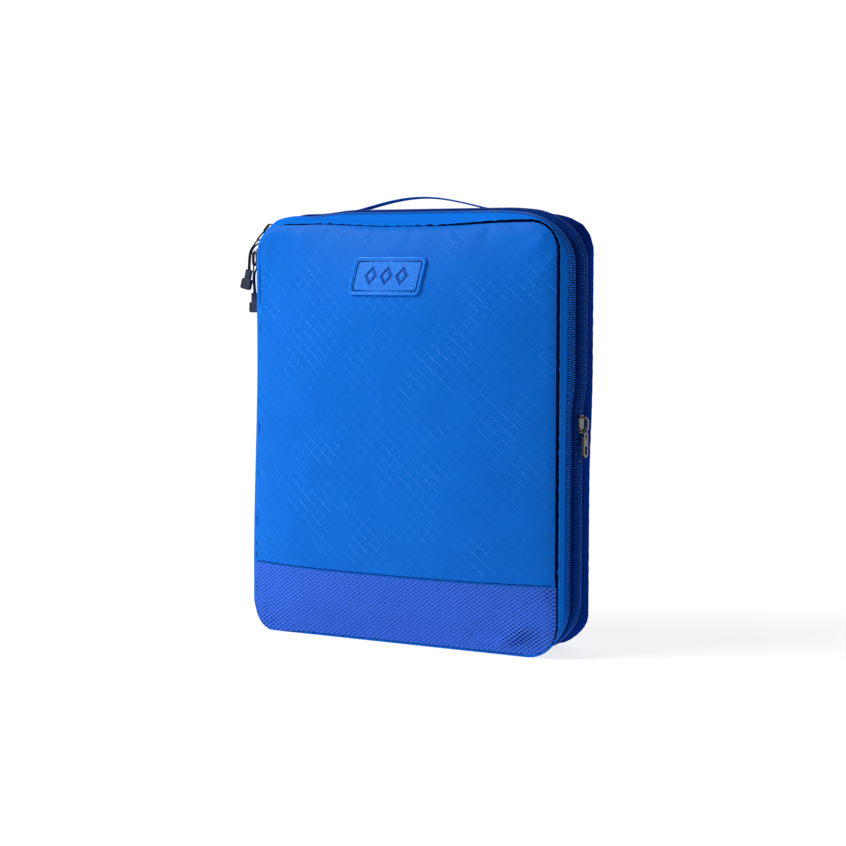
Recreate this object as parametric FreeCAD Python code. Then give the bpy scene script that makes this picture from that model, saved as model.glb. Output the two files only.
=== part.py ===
"""Compression packing cube, standing on its bottom edge.

Millimetres, +Z up, +X to the right seen from the front, front face towards -Y.
The origin is at the middle of the bottom, on the surface that the cube stands on.
"""
import FreeCAD, Part
import math
import os

V = FreeCAD.Vector

# ---- driving dimensions -------------------------------------------------------------
WIDTH = 307.0                # across the compression zip
HEIGHT = 375.0               # floor to the top of the compression zip
TOP_LEFT_EXTRA = 10.0        # the front seam's upper left corner is this much rounder
REAR_ZIP_Y = 3.8             # plane of the compression zip
FRONT_ZIP = -17.0            # depth of the main zip from the compression zip
FRONT_DEPTH = -28.5
BACK_DEPTH = 36.0
FRONT_ZIP_Y = REAR_ZIP_Y + FRONT_ZIP
FRONT_SEAM_Y = REAR_ZIP_Y + FRONT_DEPTH
BACK_SEAM_Y = REAR_ZIP_Y + BACK_DEPTH
FRONT_CROWN = 22.0           # how far the filled front panel bulges past its seam
BACK_CROWN = 6.0
FLAT_BAND = 6.0              # outsets down to this one still rest on the floor
BOTTOM_RISE = 0.9            # how fast narrower outlines lift off the floor

SHELL = 1.6                  # lined fabric
TAPE = 0.85                  # zip tape
COIL = 1.8                   # coil height under the tape
COIL_WIDE = 2.9
ZIP_GAP = 0.5                # half the slot between two coil halves
MESH_TOP = 62.0              # height of the seam above the mesh window
HINGE_HALF = 104.0           # half length of the fabric hinge along the bottom

BINDING_RAISE = 0.9          # the front seam's binding stands this far off the tape

PLEAT_DEEP = 8.0             # folded expansion gusset
PLEAT_HALF = 2.3
PLEAT_DROP = 2.9             # it starts this far below the coils

PATCH_X = -6.0
PATCH_Z = 320.6
PATCH_WIDE = 69.0
PATCH_TALL = 32.5
PATCH_LEAN = 5.5             # its top sits this far right of its bottom
PATCH_R = 4.0
PATCH_RIM = 2.2
PATCH_THICK = 1.4
PATCH_RAISE = 0.8            # the rim stands this far off the field

SLIDER_LONG = 15.5
SLIDER_WIDE = 11.7
SLIDER_WAIST = 0.84          # share of the full width behind the shoulders
SLIDER_TAIL = 0.78
SLIDER_NOSE = 0.62
SHOULDER = 3.2               # from the nose back to the widest place
PLATE = 1.4
PLATE_UP = 0.3               # gap between the tape and the top plate
LOW_PLATE = (5.0, 3.6, 1.1)  # half length, half width and thickness
DIVIDER_HALF = 0.2
CROWN_TOP = 7.6
CROWN_THICK = 1.4
CROWN_WIDE = 3.2
PIVOT_UP = 4.7               # pull pivot above the tape
RING_WIRE_R = 0.85
RING_HALF = 4.3
RING_LONG = 10.5
RING_BEND = 2.0
UPPER_ANGLE = 44.5           # upper slider's place round the corner, from the level
UPPER_BAR = -3.4             # ring bars under the bridges, along each slider
LOWER_Z = 337.0
LOWER_BAR = 3.2
COMPRESSION_Z = 197.0
COMPRESSION_BAR = -3.6
# how far below the tape the lower plates run, clear of the coils
UPPER_DROP = 4.7
LOWER_DROP = 7.0
COMPRESSION_DROP = 4.0

TAB_HALF = 4.6               # cast pull tab
TAB_THICK = 2.0
TAB_LONG = 21.0
TAB_NECK = 3.4
TAB_FRAME = 2.2
TAB_WINDOW = 7.5
TAB_EYE = 4.4
TAB_EYE_HALF = 2.3

CORD = 2.6                   # width of a doubled pull cord
# x, distance from the zip's plane and z down each pull cord; the last run is in the end
CORD_ROUTES = {
    "upper": [(-151.9, 0, 350.7), (-155.3, -7.6, 345.0), (-156.8, -7.9, 331.5),
              (-157.0, -7.6, 321.5), (-159.8, -7.6, 311.5)],
    "lower": [(-155.4, 0, 328.6), (-156.9, -0.5, 320.0), (-156.6, 0.1, 311.0),
              (-156.0, 0.3, 302.0), (-156.3, 0, 292.0)],
}
# x and z of each moulded end's neck, and its lean from the plumb in degrees
CORD_ENDS = {"upper": (-156.9, 325.6, 14.0), "lower": (-156.2, 305.0, 0.5)}
CORD_END_DY = {"upper": -7.6, "lower": 0.1}
NECK = (9.5, 3.1, 1.9)       # length, half width and half thickness
BLOCK = (9.5, 4.9, 2.3)
BLOCK_START = 8.3

HANDLE_Y = REAR_ZIP_Y + 13.0
HANDLE_WIDE = 11.0
HANDLE_THICK = 1.3
HANDLE_HALF = 80.0           # half the free span
HANDLE_RISE = 13.0
HANDLE_END = 92.0
HANDLE_POWER = 1.4           # lower is more pointed
HANDLE_FREE_HALF = 45.0      # the part that stands clear when the handle tilts
HANDLE_GAP = 0.3             # clear of the sewn ends
HANDLE_SINK = 0.4            # the sewn ends press this far into the gusset

# depth from the compression zip, outset of the skin from that zip's outline, corner radius
SKIN = [
    (-28.5, -9.0, 24.0), (-27.2, -6.0, 30.0), (-24.5, -4.7, 37.0), (-20.7, -4.0, 42.0),
    (-17.0, -3.0, 44.0), (-13.3, -3.4, 44.0), (-10.6, -5.2, 42.0), (-6.6, -5.0, 43.0),
    (-3.7, -1.0, 46.0), (0.0, 0.0, 47.0), (3.7, -0.5, 45.0), (9.0, -0.4, 38.0),
    (20.0, -0.6, 30.0), (30.0, -4.5, 27.0), (36.0, -9.5, 24.0),
]


def skin(depth):
    """Outset and corner radius of the outer skin at a depth from the compression zip."""
    for (d0, o0, r0), (d1, o1, r1) in zip(SKIN, SKIN[1:]):
        if d0 <= depth <= d1:
            t = (depth - d0) / (d1 - d0)
            return o0 + (o1 - o0) * t, r0 + (r1 - r0) * t
    return SKIN[0][1:] if depth < SKIN[0][0] else SKIN[-1][1:]


def knots(depths):
    """The depths again, with every kink of the skin that lies between them."""
    bends = [depth for depth, _, _ in SKIN]
    for (d0, o0, _), (d1, o1, _) in zip(SKIN, SKIN[1:]):
        if (o0 + FLAT_BAND) * (o1 + FLAT_BAND) < 0:
            bends.append(d0 + (d1 - d0) * (-FLAT_BAND - o0) / (o1 - o0))
    clear = [b for b in bends if all(abs(b - d) > 0.05 for d in depths)]
    return sorted(depths + [b for b in clear if depths[0] < b < depths[-1]])


def outline(depth, inset=0.0, y=None):
    """Rounded rectangle at a depth, with its lower side flattened onto the floor."""
    outset, r = skin(depth)
    r -= inset
    y = REAR_ZIP_Y + depth if y is None else y
    half = WIDTH / 2 + outset - inset
    top = HEIGHT + outset - inset
    bottom = max(0.0, (-outset - FLAT_BAND) * BOTTOM_RISE) + inset
    rounder = TOP_LEFT_EXTRA * min(1.0, max(0.0, (-17.0 - depth) / 11.5))
    edges = []
    corners = [(half, bottom, -90, r), (half, top, 0, r), (-half, top, 90, r + rounder),
               (-half, bottom, 180, r)]

    def at(corner, turn):
        x, z, start, radius = corner
        a = math.radians(start + turn)
        cx = x - math.copysign(radius, x)
        cz = z + radius if z == bottom else z - radius
        return V(cx + radius * math.cos(a), y, cz + radius * math.sin(a))

    for i, corner in enumerate(corners):
        arc = Part.Arc(at(corner, 0), at(corner, 45), at(corner, 90))
        edges.append(arc.toShape())
        edges.append(Part.makeLine(at(corner, 90), at(corners[(i + 1) % 4], 0)))
    return Part.Wire(edges)


def ring(depths, drop, thick):
    """Closed band that follows the skin through some depths, drop below it."""
    places = knots(depths)
    deep = drop + thick
    outer = Part.makeLoft([outline(d, drop) for d in places], True, True)
    first = outline(places[0], deep, REAR_ZIP_Y + places[0] - 0.5)
    last = outline(places[-1], deep, REAR_ZIP_Y + places[-1] + 0.5)
    within = [outline(d, deep) for d in places]
    inner = Part.makeLoft([first] + within + [last], True, True)
    return outer.cut(inner)


def box(low, high):
    return Part.makeBox(high[0] - low[0], high[1] - low[1], high[2] - low[2], V(*low))


def bottom_block(half):
    """Everything low down between two places along the bottom, to cut bands with."""
    return box((-half, -60, -5), (half, 60, 30))


def crowned_sheet(seam_y, crown, thick, depth, side):
    """Sheet with a filled bulge: round across the width, level up the middle."""
    outset = skin(depth)[0]
    half = WIDTH / 2 + outset
    low = max(0.0, (-outset - FLAT_BAND) * BOTTOM_RISE)
    mid = (HEIGHT + outset + low) / 2
    tall = (HEIGHT + outset - low) / 2
    rows = []
    for i in range(13):
        u = 1.02 * (-1 + i / 6)
        row = []
        for j in range(13):
            w = 1.02 * math.sin(math.radians(-90 + 15 * j))
            bulge = crown * (1 - u * u) * (1 - w ** 4)
            row.append(V(u * half, seam_y + side * bulge, mid + w * tall))
        rows.append(row)
    surface = Part.BSplineSurface()
    surface.interpolate(rows)
    prism = Part.Face(outline(depth, 0.0, seam_y - 60)).extrude(V(0, 120, 0))
    block = surface.toShape().extrude(V(0, -side * thick, 0))
    if block.Volume < 0:
        block.reverse()
    return block.common(prism)


# ---- back shell ---------------------------------------------------------------------
def back_shell():
    parts = {}
    parts["back_panel"] = crowned_sheet(BACK_SEAM_Y, BACK_CROWN, SHELL, BACK_DEPTH, 1)
    parts["back_gusset"] = ring([4.2, BACK_DEPTH - 0.1 - SHELL], TAPE, SHELL)
    parts["back_seam_binding"] = ring([31.5, 34.2], 0.0, TAPE - 0.05)
    parts["compression_zip_rear_tape"] = ring([ZIP_GAP, 9.0], 0.0, TAPE)
    parts["compression_zip_rear_coil"] = ring([ZIP_GAP, ZIP_GAP + COIL_WIDE], TAPE, COIL)
    stop = ring([0.6, 3.2], -0.9, 0.9)
    parts["compression_zip_stop"] = stop.common(box((140, -10, 206.5), (170, 20, 209)))
    return parts


# ---- middle frame, between the two zips ---------------------------------------------
def mid_frame():
    parts = {}
    lower = bottom_block(HINGE_HALF)
    front = FRONT_ZIP
    parts["compression_zip_front_tape"] = ring([-6.4, -ZIP_GAP], 0.0, TAPE)
    parts["compression_zip_front_coil"] = ring([-ZIP_GAP - COIL_WIDE, -ZIP_GAP], TAPE, COIL)
    parts["middle_gusset"] = ring([-12.9, -4.6], TAPE, SHELL)
    tape = ring([front + ZIP_GAP, -11.2], 0.0, TAPE)
    parts["main_zip_rear_tape"] = tape.cut(lower)
    coil = ring([front + ZIP_GAP, front + ZIP_GAP + COIL_WIDE], TAPE, COIL)
    parts["main_zip_rear_coil"] = coil.cut(lower)
    hinge = bottom_block(HINGE_HALF - 0.4)
    parts["hinge_strip"] = ring([front - 3.2, -11.2], 0.0, TAPE).common(hinge)
    low = TAPE + COIL + PLEAT_DROP
    y = REAR_ZIP_Y - PLEAT_HALF
    fold = Part.Face(outline(0.0, low, y)).extrude(V(0, 2 * PLEAT_HALF, 0))
    hole = Part.Face(outline(0.0, low + PLEAT_DEEP, y - 5)).extrude(V(0, 18, 0))
    parts["expansion_gusset"] = fold.cut(hole)
    tab = ring([-10.2, -6.8], -0.1, 0.9)
    parts["compression_zip_end_tab"] = tab.common(box((140, -20, 166), (170, 10, 188)))
    return parts


# ---- front lid ----------------------------------------------------------------------
def front_lid():
    parts = {}
    front = FRONT_ZIP
    sheet = crowned_sheet(FRONT_SEAM_Y, FRONT_CROWN, SHELL, FRONT_DEPTH, -1)
    below = box((-200, -120, -10), (200, 60, MESH_TOP))
    parts["front_mesh_window"] = sheet.common(below)
    parts["front_panel"] = sheet.cut(below)
    over = crowned_sheet(FRONT_SEAM_Y - 0.9, FRONT_CROWN, 0.8, FRONT_DEPTH, -1)
    strip = box((-137, -120, MESH_TOP - 3), (137, 60, MESH_TOP + 3))
    parts["mesh_seam_binding"] = over.common(strip)
    wall = ring([FRONT_DEPTH + SHELL, front - ZIP_GAP], 0.0, TAPE)
    lower = bottom_block(HINGE_HALF)
    hinge_side = box((-200, FRONT_ZIP_Y - 3.7, -5), (200, 60, 30))
    parts["main_zip_front_tape"] = wall.cut(lower)
    parts["lid_bottom_strip"] = wall.common(lower).cut(hinge_side)
    coil = ring([front - ZIP_GAP - COIL_WIDE, front - ZIP_GAP], TAPE, COIL)
    parts["main_zip_front_coil"] = coil.cut(lower)
    parts["front_seam_binding"] = ring([FRONT_DEPTH + 0.1, -27.0], -BINDING_RAISE, BINDING_RAISE - 0.05)
    parts["patch"] = patch()
    return parts


def patch():
    """Moulded patch: a leaning parallelogram with a raised rim."""
    outer = parallelogram(0.0)
    inner = parallelogram(PATCH_RIM)
    face = FRONT_SEAM_Y - PATCH_THICK - 0.1
    tile = crowned_sheet(face, FRONT_CROWN, PATCH_THICK, FRONT_DEPTH, -1).common(outer)
    rim = crowned_sheet(face - PATCH_RAISE, FRONT_CROWN, PATCH_RAISE + 0.1, FRONT_DEPTH, -1)
    return tile.fuse(rim.common(outer.cut(inner)))


def parallelogram(inset):
    """Prism along Y with the patch's leaning outline, smaller all round by an inset."""
    half = PATCH_WIDE / 2 - inset
    up = PATCH_TALL / 2 - inset
    lean = PATCH_LEAN * up / PATCH_TALL
    points = [V(PATCH_X - half - lean, -120, PATCH_Z - up),
              V(PATCH_X + half - lean, -120, PATCH_Z - up),
              V(PATCH_X + half + lean, -120, PATCH_Z + up),
              V(PATCH_X - half + lean, -120, PATCH_Z + up)]
    block = Part.Face(Part.makePolygon(points + points[:1])).extrude(V(0, 140, 0))
    upright = [e for e in block.Edges if abs(e.BoundBox.YLength - 140) < 1]
    return block.makeFillet(PATCH_R - inset, upright)


# ---- sliders and pulls, made flat and then set on the zips ----------------------------
# In these, +X runs along the zip to the slider's nose, +Y across it and +Z out of the bag.
def slider(drop):
    """Slider with top and bottom plates, a thin divider between them and a bridge."""
    nose, tail = SLIDER_LONG / 2, -SLIDER_LONG / 2
    half = SLIDER_WIDE / 2
    side = [(tail, half * SLIDER_TAIL), (-1, half * SLIDER_WAIST), (nose - SHOULDER, half),
            (nose, half * SLIDER_NOSE)]
    outer = [V(x, -y, PLATE_UP) for x, y in side] + [V(x, y, PLATE_UP) for x, y in side[::-1]]
    top = Part.Face(Part.makePolygon(outer + outer[:1])).extrude(V(0, 0, PLATE))
    top = top.makeFillet(1.2, [e for e in top.Edges if abs(e.BoundBox.ZLength - PLATE) < 0.01])
    rim = [e for e in top.Edges if e.BoundBox.ZMin > PLATE_UP + PLATE - 0.01]
    top = top.makeFillet(0.55, rim)
    long, wide, thick = LOW_PLATE
    low = box((-long, -wide, -drop - thick), (long, wide, -drop))
    low = low.makeFillet(0.8, [e for e in low.Edges if abs(e.BoundBox.ZLength - thick) < 0.01])
    divider = box((nose - 2 * SHOULDER, -DIVIDER_HALF, -drop - 0.2),
                  (nose - SHOULDER, DIVIDER_HALF, PLATE_UP + 0.2))
    return top.fuse([low, divider, bridge()]).removeSplitter()


def bridge():
    """Arched strap over the slider that holds the pull."""
    high = CROWN_TOP
    under = high - CROWN_THICK
    outside = [V(-6.6, 0, 1.0), V(-6.4, 0, high - 2.8), V(-4.0, 0, high), V(3.6, 0, high),
               V(6.1, 0, high - 2.8), V(6.5, 0, 1.0)]
    inside = [V(5.2, 0, 1.0), V(4.9, 0, under - 1.6), V(3.4, 0, under),
              V(-3.6, 0, under), V(-5.1, 0, under - 1.5), V(-5.3, 0, 1.0)]
    wire = Part.makePolygon(outside + inside + outside[:1])
    strap = Part.Face(wire).extrude(V(0, CROWN_WIDE, 0))
    strap.translate(V(0, -CROWN_WIDE / 2, 0))
    edges = [e for e in strap.Edges if abs(e.BoundBox.YLength) < 0.01 and e.BoundBox.ZMax > 2]
    return strap.makeFillet(0.35, edges)


def tube(points, diameter, radius=None):
    """Round bar along straight runs joined by tangent arcs, as large as the runs allow."""
    edges = []
    here = points[0]
    for before, corner, after in zip(points, points[1:], points[2:]):
        shorter = min((corner - before).Length, (after - corner).Length)
        into = (corner - before).normalize()
        out = (after - corner).normalize()
        half = into.getAngle(out) / 2
        r = radius or 0.45 * shorter / math.tan(half)
        if not radius:
            print("arc radius", round(r, 1), "mm")
        start = corner - into * (r * math.tan(half))
        end = corner + out * (r * math.tan(half))
        mid = corner + (out - into).normalize() * (r / math.cos(half) - r)
        if (start - here).Length > 1e-6:
            edges.append(Part.makeLine(here, start))
        edges.append(Part.Arc(start, mid, end).toShape())
        here = end
    edges.append(Part.makeLine(here, points[-1]))
    wire = Part.Wire(edges)
    first = (points[1] - points[0]).normalize()
    disc = Part.Wire(Part.makeCircle(diameter / 2, points[0], first))
    bar = wire.makePipeShell([disc], True, False)
    expected = math.pi * diameter ** 2 / 4 * wire.Length
    print("bar volume over section times length", round(bar.Volume / expected, 3))
    return bar


def pull_ring(bar_x):
    """Wire loop with its top bar under the bridge, lying back along the slider."""
    z = PIVOT_UP
    low = bar_x - RING_LONG
    first = [V(bar_x, 0, z), V(bar_x, RING_HALF, z), V(low, RING_HALF, z), V(low, 0, z)]
    side = tube(first, 2 * RING_WIRE_R, RING_BEND)
    other = side.mirror(V(0, 0, 0), V(0, 1, 0))
    return side.fuse(other).removeSplitter()


def pull_tab(bar_x):
    """Cast pull: a loop round the bridge, a triangular window, a web and a long window."""
    z = PIVOT_UP
    half, neck, frame = TAB_HALF, TAB_NECK, TAB_FRAME
    top, bottom = bar_x - neck, bar_x - neck - TAB_LONG
    loop = [V(top - 1.5, neck, z), V(bar_x, neck, z), V(bar_x, -neck, z), V(top - 1.5, -neck, z)]
    head = tube(loop, 2 * RING_WIRE_R, 1.6)
    body = box((bottom, -half, z - TAB_THICK / 2), (top, half, z + TAB_THICK / 2))
    corners = [e for e in body.Edges if abs(e.BoundBox.ZLength - TAB_THICK) < 0.01]
    body = body.makeFillet(3.2, corners)
    window = box((bottom + frame, frame - half, z - TAB_THICK),
                 (bottom + frame + TAB_WINDOW, half - frame, z + TAB_THICK))
    corners = [e for e in window.Edges if abs(e.BoundBox.ZLength - 2 * TAB_THICK) < 0.01]
    window = window.makeFillet(1.8, corners)
    wide = top - frame
    apex = [V(wide, -TAB_EYE_HALF, z - TAB_THICK), V(wide, TAB_EYE_HALF, z - TAB_THICK),
            V(wide - TAB_EYE, 0, z - TAB_THICK)]
    eye = Part.Face(Part.makePolygon(apex + apex[:1])).extrude(V(0, 0, 2 * TAB_THICK))
    return head.fuse(body.cut(window).cut(eye)).removeSplitter()


def cord_end():
    """Moulded cord end: a narrow neck over a wider block, +X from the neck downwards."""
    long, half, thick = NECK
    neck = box((0, -half, -thick), (long, half, thick))
    neck = neck.makeFillet(1.2, [e for e in neck.Edges if e.BoundBox.XLength > long - 0.1])
    long, half, thick = BLOCK
    block = box((BLOCK_START, -half, -thick), (BLOCK_START + long, half, thick))
    corners = [e for e in block.Edges if abs(e.BoundBox.ZLength - 2 * thick) < 0.01]
    block = block.makeFillet(1.6, corners)
    rims = [e for e in block.Edges if e.BoundBox.ZLength < 0.01]
    return block.makeFillet(0.7, rims).fuse(neck).removeSplitter()


def placed(shape, origin, along, outward):
    """Set a flat part on the bag: its +X goes along, its +Z outward."""
    x = V(*along).normalize()
    z = V(*outward).normalize()
    y = z.cross(x)
    out = shape.copy()
    out.Placement = FreeCAD.Placement(FreeCAD.Matrix(
        x.x, y.x, z.x, origin[0], x.y, y.y, z.y, origin[1], x.z, y.z, z.z, origin[2], 0, 0, 0, 1))
    return out


def main_pulls():
    """The two main-zip sliders, nose to nose near the upper left corner."""
    parts = {}
    y = FRONT_ZIP_Y
    out, r = skin(FRONT_ZIP)
    left = -WIDTH / 2 - out
    turn = math.radians(UPPER_ANGLE)
    normal = (-math.cos(turn), 0, math.sin(turn))
    nose = (-math.sin(turn), 0, -math.cos(turn))
    tail = (math.sin(turn), 0, math.cos(turn))
    place = (left + r + r * normal[0], y, HEIGHT + out - r + r * normal[2])
    parts["main_slider_upper"] = placed(slider(UPPER_DROP), place, nose, normal)
    parts["main_ring_upper"] = placed(pull_ring(UPPER_BAR), place, tail, normal)
    low = (left, y, LOWER_Z)
    parts["main_slider_lower"] = placed(slider(LOWER_DROP), low, (0, 0, 1), (-1, 0, 0))
    parts["main_ring_lower"] = placed(pull_ring(LOWER_BAR), low, (0, 0, 1), (-1, 0, 0))
    pivot = [p + UPPER_BAR * t + PIVOT_UP * n for p, t, n in zip(place, tail, normal)]
    print("upper pivot", [round(p, 3) for p in pivot])
    for name, route in CORD_ROUTES.items():
        points = [V(x, y + dy, z) for x, dy, z in route]
        parts["pull_cord_" + name] = tube(points, CORD)
        parts["cord_end_" + name] = placed(cord_end(), *end_place(name, y + CORD_END_DY[name]))
    return parts


def end_place(name, y):
    """Where the moulded end starts, which way it hangs and which way its face looks."""
    x, z, lean = CORD_ENDS[name]
    a = math.radians(lean)
    return (x, y, z), (-math.sin(a), 0, -math.cos(a)), (0, -1, 0)


def compression_pull():
    parts = {}
    place = (WIDTH / 2, REAR_ZIP_Y, COMPRESSION_Z)
    parts["compression_slider"] = placed(slider(COMPRESSION_DROP), place, (0, 0, 1), (1, 0, 0))
    parts["compression_pull"] = placed(pull_tab(COMPRESSION_BAR), place, (0, 0, 1), (1, 0, 0))
    return parts


# ---- carrying handle ------------------------------------------------------------------
def handle():
    """Flat webbing: two sewn ends, and the free arch between them that tilts."""
    base = HEIGHT - HANDLE_SINK
    places = [HANDLE_END * (i / 14 - 1) for i in range(29)]

    def lift(x):
        if abs(x) >= HANDLE_HALF:
            return 0.0
        return HANDLE_RISE * math.cos(math.pi * x / 2 / HANDLE_HALF) ** HANDLE_POWER

    sides = []
    for extra in (0.0, HANDLE_THICK):
        curve = Part.BSplineCurve()
        curve.interpolate([V(x, 0, base + extra + lift(x)) for x in places])
        sides.append(curve.toShape())
    ends = [Part.makeLine(V(x, 0, base), V(x, 0, base + HANDLE_THICK))
            for x in (-HANDLE_END, HANDLE_END)]
    face = Part.Face(Part.Wire([sides[0], ends[1], sides[1], ends[0]]))
    strap = face.extrude(V(0, HANDLE_WIDE, 0))
    strap.translate(V(0, HANDLE_Y - HANDLE_WIDE / 2, 0))
    if strap.Volume < 0:
        strap.reverse()
    free = HANDLE_FREE_HALF
    middle = box((-free, -50, 300), (free, 80, 450))
    wider = box((-free - HANDLE_GAP, -50, 300), (free + HANDLE_GAP, 80, 450))
    rest = strap.cut(wider)
    left, right = sorted(rest.Solids, key=lambda s: s.CenterOfMass.x)
    return {"handle_strap": strap.common(middle), "handle_end_left": left,
            "handle_end_right": right}


def main():
    os.makedirs("parts", exist_ok=True)
    parts = {}
    for make in (back_shell, mid_frame, front_lid, main_pulls, compression_pull, handle):
        parts.update(make())
    for name, shape in parts.items():
        fine = shape.isValid() and shape.Volume > 0
        print(name, "ok" if fine else "BAD", len(shape.Solids), round(shape.Volume))
        shape.exportStep("parts/" + name + ".step")


main()
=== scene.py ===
import math

import bpy
import numpy as np
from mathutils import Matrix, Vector


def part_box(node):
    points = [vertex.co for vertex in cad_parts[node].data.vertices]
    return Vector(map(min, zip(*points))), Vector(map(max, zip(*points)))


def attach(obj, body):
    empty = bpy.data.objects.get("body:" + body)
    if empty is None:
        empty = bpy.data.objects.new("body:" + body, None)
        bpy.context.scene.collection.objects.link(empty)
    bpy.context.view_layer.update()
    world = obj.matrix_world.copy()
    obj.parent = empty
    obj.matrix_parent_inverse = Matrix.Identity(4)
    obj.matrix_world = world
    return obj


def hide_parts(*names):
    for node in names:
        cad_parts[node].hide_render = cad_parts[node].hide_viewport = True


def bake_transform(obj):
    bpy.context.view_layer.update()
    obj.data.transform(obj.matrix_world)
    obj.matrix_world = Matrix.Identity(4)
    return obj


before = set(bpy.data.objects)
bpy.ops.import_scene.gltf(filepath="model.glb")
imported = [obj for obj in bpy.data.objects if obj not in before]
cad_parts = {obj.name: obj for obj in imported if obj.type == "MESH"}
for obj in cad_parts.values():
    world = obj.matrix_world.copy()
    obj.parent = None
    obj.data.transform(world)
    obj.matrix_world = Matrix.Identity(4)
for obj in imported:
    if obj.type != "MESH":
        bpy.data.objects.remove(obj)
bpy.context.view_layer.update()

MM = 0.001


# ---- camera ----------------------------------------------------------------------------
# A short telephoto view from the front right, just above the top of the cube, turned a
# few degrees down onto the middle of the front panel.
SEAM_AHEAD = 1.6 * MM
FRONT_SEAM_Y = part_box("main_zip_front_tape")[0].y - SEAM_AHEAD
AZIMUTH = math.radians(27.0)
CAMERA_AWAY = 1.551
CAMERA_HEIGHT = 0.330
LOOK_HEIGHT = 0.194
SIDESTEP = 0.018
LENS = 76.7

camera = bpy.data.objects.new("camera", bpy.data.cameras.new("camera"))
bpy.context.scene.collection.objects.link(camera)
bpy.context.scene.camera = camera
camera.data.lens = LENS
camera.data.sensor_width = 36.0
aim_x = SIDESTEP * math.cos(AZIMUTH)
aim_y = FRONT_SEAM_Y + SIDESTEP * math.sin(AZIMUTH)
camera.location = (aim_x + CAMERA_AWAY * math.sin(AZIMUTH),
                   aim_y - CAMERA_AWAY * math.cos(AZIMUTH), CAMERA_HEIGHT)
aim = Vector((aim_x, aim_y, LOOK_HEIGHT))
camera.rotation_euler = (aim - camera.location).to_track_quat("-Z", "Y").to_euler()


# ---- doubled pull cords on the two main zip rings --------------------------------------
# Each is one thin navy braided cord, passed round the bottom bar of its ring and moulded
# into a rubber end, so that two strands hang side by side for about 30 mm.
class Wire:
    """A shader socket that takes part in sums."""

    def __init__(self, finish, socket):
        self.finish = finish
        self.socket = socket

    def math(self, operation, *values, clamp=False):
        return self.finish.node("ShaderNodeMath", {"operation": operation, "use_clamp": clamp},
                                values)

    def __add__(self, other):
        return self.math("ADD", self, other)

    def __mul__(self, other):
        return self.math("MULTIPLY", self, other)

    def __sub__(self, other):
        return self.math("SUBTRACT", self, other)

    def __rsub__(self, other):
        return self.math("SUBTRACT", other, self)

    def __truediv__(self, other):
        return self.math("DIVIDE", self, other)

    __radd__ = __add__
    __rmul__ = __mul__

    def clamped(self):
        return self.math("ADD", self, 0.0, clamp=True)

    def sine(self):
        return self.math("SINE", self)

    def cosine(self):
        return self.math("COSINE", self)

    def size(self):
        return self.math("ABSOLUTE", self)

    def part(self):
        return self.math("FRACT", self)

    def step(self, low, high):
        """0 below low, 1 above high, smooth between."""
        return self.finish.node("ShaderNodeMapRange", {"interpolation_type": "SMOOTHSTEP"},
                                {"Value": self, "From Min": low, "From Max": high})


class Finish:
    """One material: a Principled shader, and the nodes that vary it over the surface."""

    def __init__(self, name, colour, **constants):
        self.material = bpy.data.materials.new(name)
        self.material.use_nodes = True
        self.tree = self.material.node_tree
        self.shader = self.tree.nodes["Principled BSDF"]
        self.shader.inputs["Base Color"].default_value = (*colour, 1.0)
        self.shader.inputs["Specular IOR Level"].default_value = 0.0
        self.material.diffuse_color = (*colour, 1.0)
        for key, value in constants.items():
            name = "Specular IOR Level" if key == "Shine" else key.replace("_", " ")
            self.shader.inputs[name].default_value = value

    def node(self, kind, settings=None, inputs=(), out=0):
        """Any node: its settings, then the values or links of its sockets."""
        made = self.tree.nodes.new(kind)
        for key, value in (settings or {}).items():
            setattr(made, key, value)
        pairs = inputs.items() if isinstance(inputs, dict) else enumerate(inputs)
        for key, value in pairs:
            if isinstance(value, Wire):
                self.tree.links.new(value.socket, made.inputs[key])
            else:
                made.inputs[key].default_value = value
        return Wire(self, made.outputs[out])

    def feed(self, name, wire):
        self.tree.links.new(wire.socket, self.shader.inputs[name])
        return self

    def bump(self, height, distance, strength=1.0):
        """Raised and sunken detail, its height from 0 to 1 over a distance in metres."""
        made = self.node("ShaderNodeBump", {}, {"Height": height, "Distance": distance,
                                                "Strength": strength})
        return self.feed("Normal", made)

    def cloth(self):
        """The two directions of the cloth, in metres."""
        flat = self.node("ShaderNodeUVMap", {"uv_map": "cloth"})
        split = self.node("ShaderNodeSeparateXYZ", {}, [flat])
        return split, Wire(self, split.socket.node.outputs[1])

    def noise(self, scale, detail=2.0, roughness=0.5):
        place = self.node("ShaderNodeTexCoord", {}, out=3)
        return self.node("ShaderNodeTexNoise", {}, {"Vector": place, "Scale": scale,
                                                    "Detail": detail, "Roughness": roughness})

    def mixed(self, factor, first, second):
        """Colour between two colours."""
        kind = {"data_type": "RGBA"}
        made = self.node("ShaderNodeMix", kind, out=2)
        sockets = made.socket.node.inputs
        for socket, value in ((sockets[0], factor), (sockets[6], first), (sockets[7], second)):
            if isinstance(value, Wire):
                self.tree.links.new(value.socket, socket)
            else:
                socket.default_value = (*value, 1.0)
        return made


def mesh_object(name, vertices, faces, loops_uv=None, finish=None, sharp=40.0, settled=True):
    """A smooth-shaded mesh with cloth coordinates in metres and one material."""
    if settled:
        vertices = settle(vertices)
    mesh = bpy.data.meshes.new(name)
    mesh.from_pydata([tuple(v) for v in vertices], [], faces)
    if loops_uv is not None:
        layer = mesh.uv_layers.new(name="cloth")
        layer.data.foreach_set("uv", np.asarray(loops_uv, np.float32).ravel())
    mesh.polygons.foreach_set("use_smooth", np.ones(len(mesh.polygons), bool))
    mesh.set_sharp_from_angle(angle=math.radians(sharp))
    made = bpy.data.objects.new(name, mesh)
    bpy.context.scene.collection.objects.link(made)
    if finish:
        made.data.materials.append(finish.material)
    return made


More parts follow.
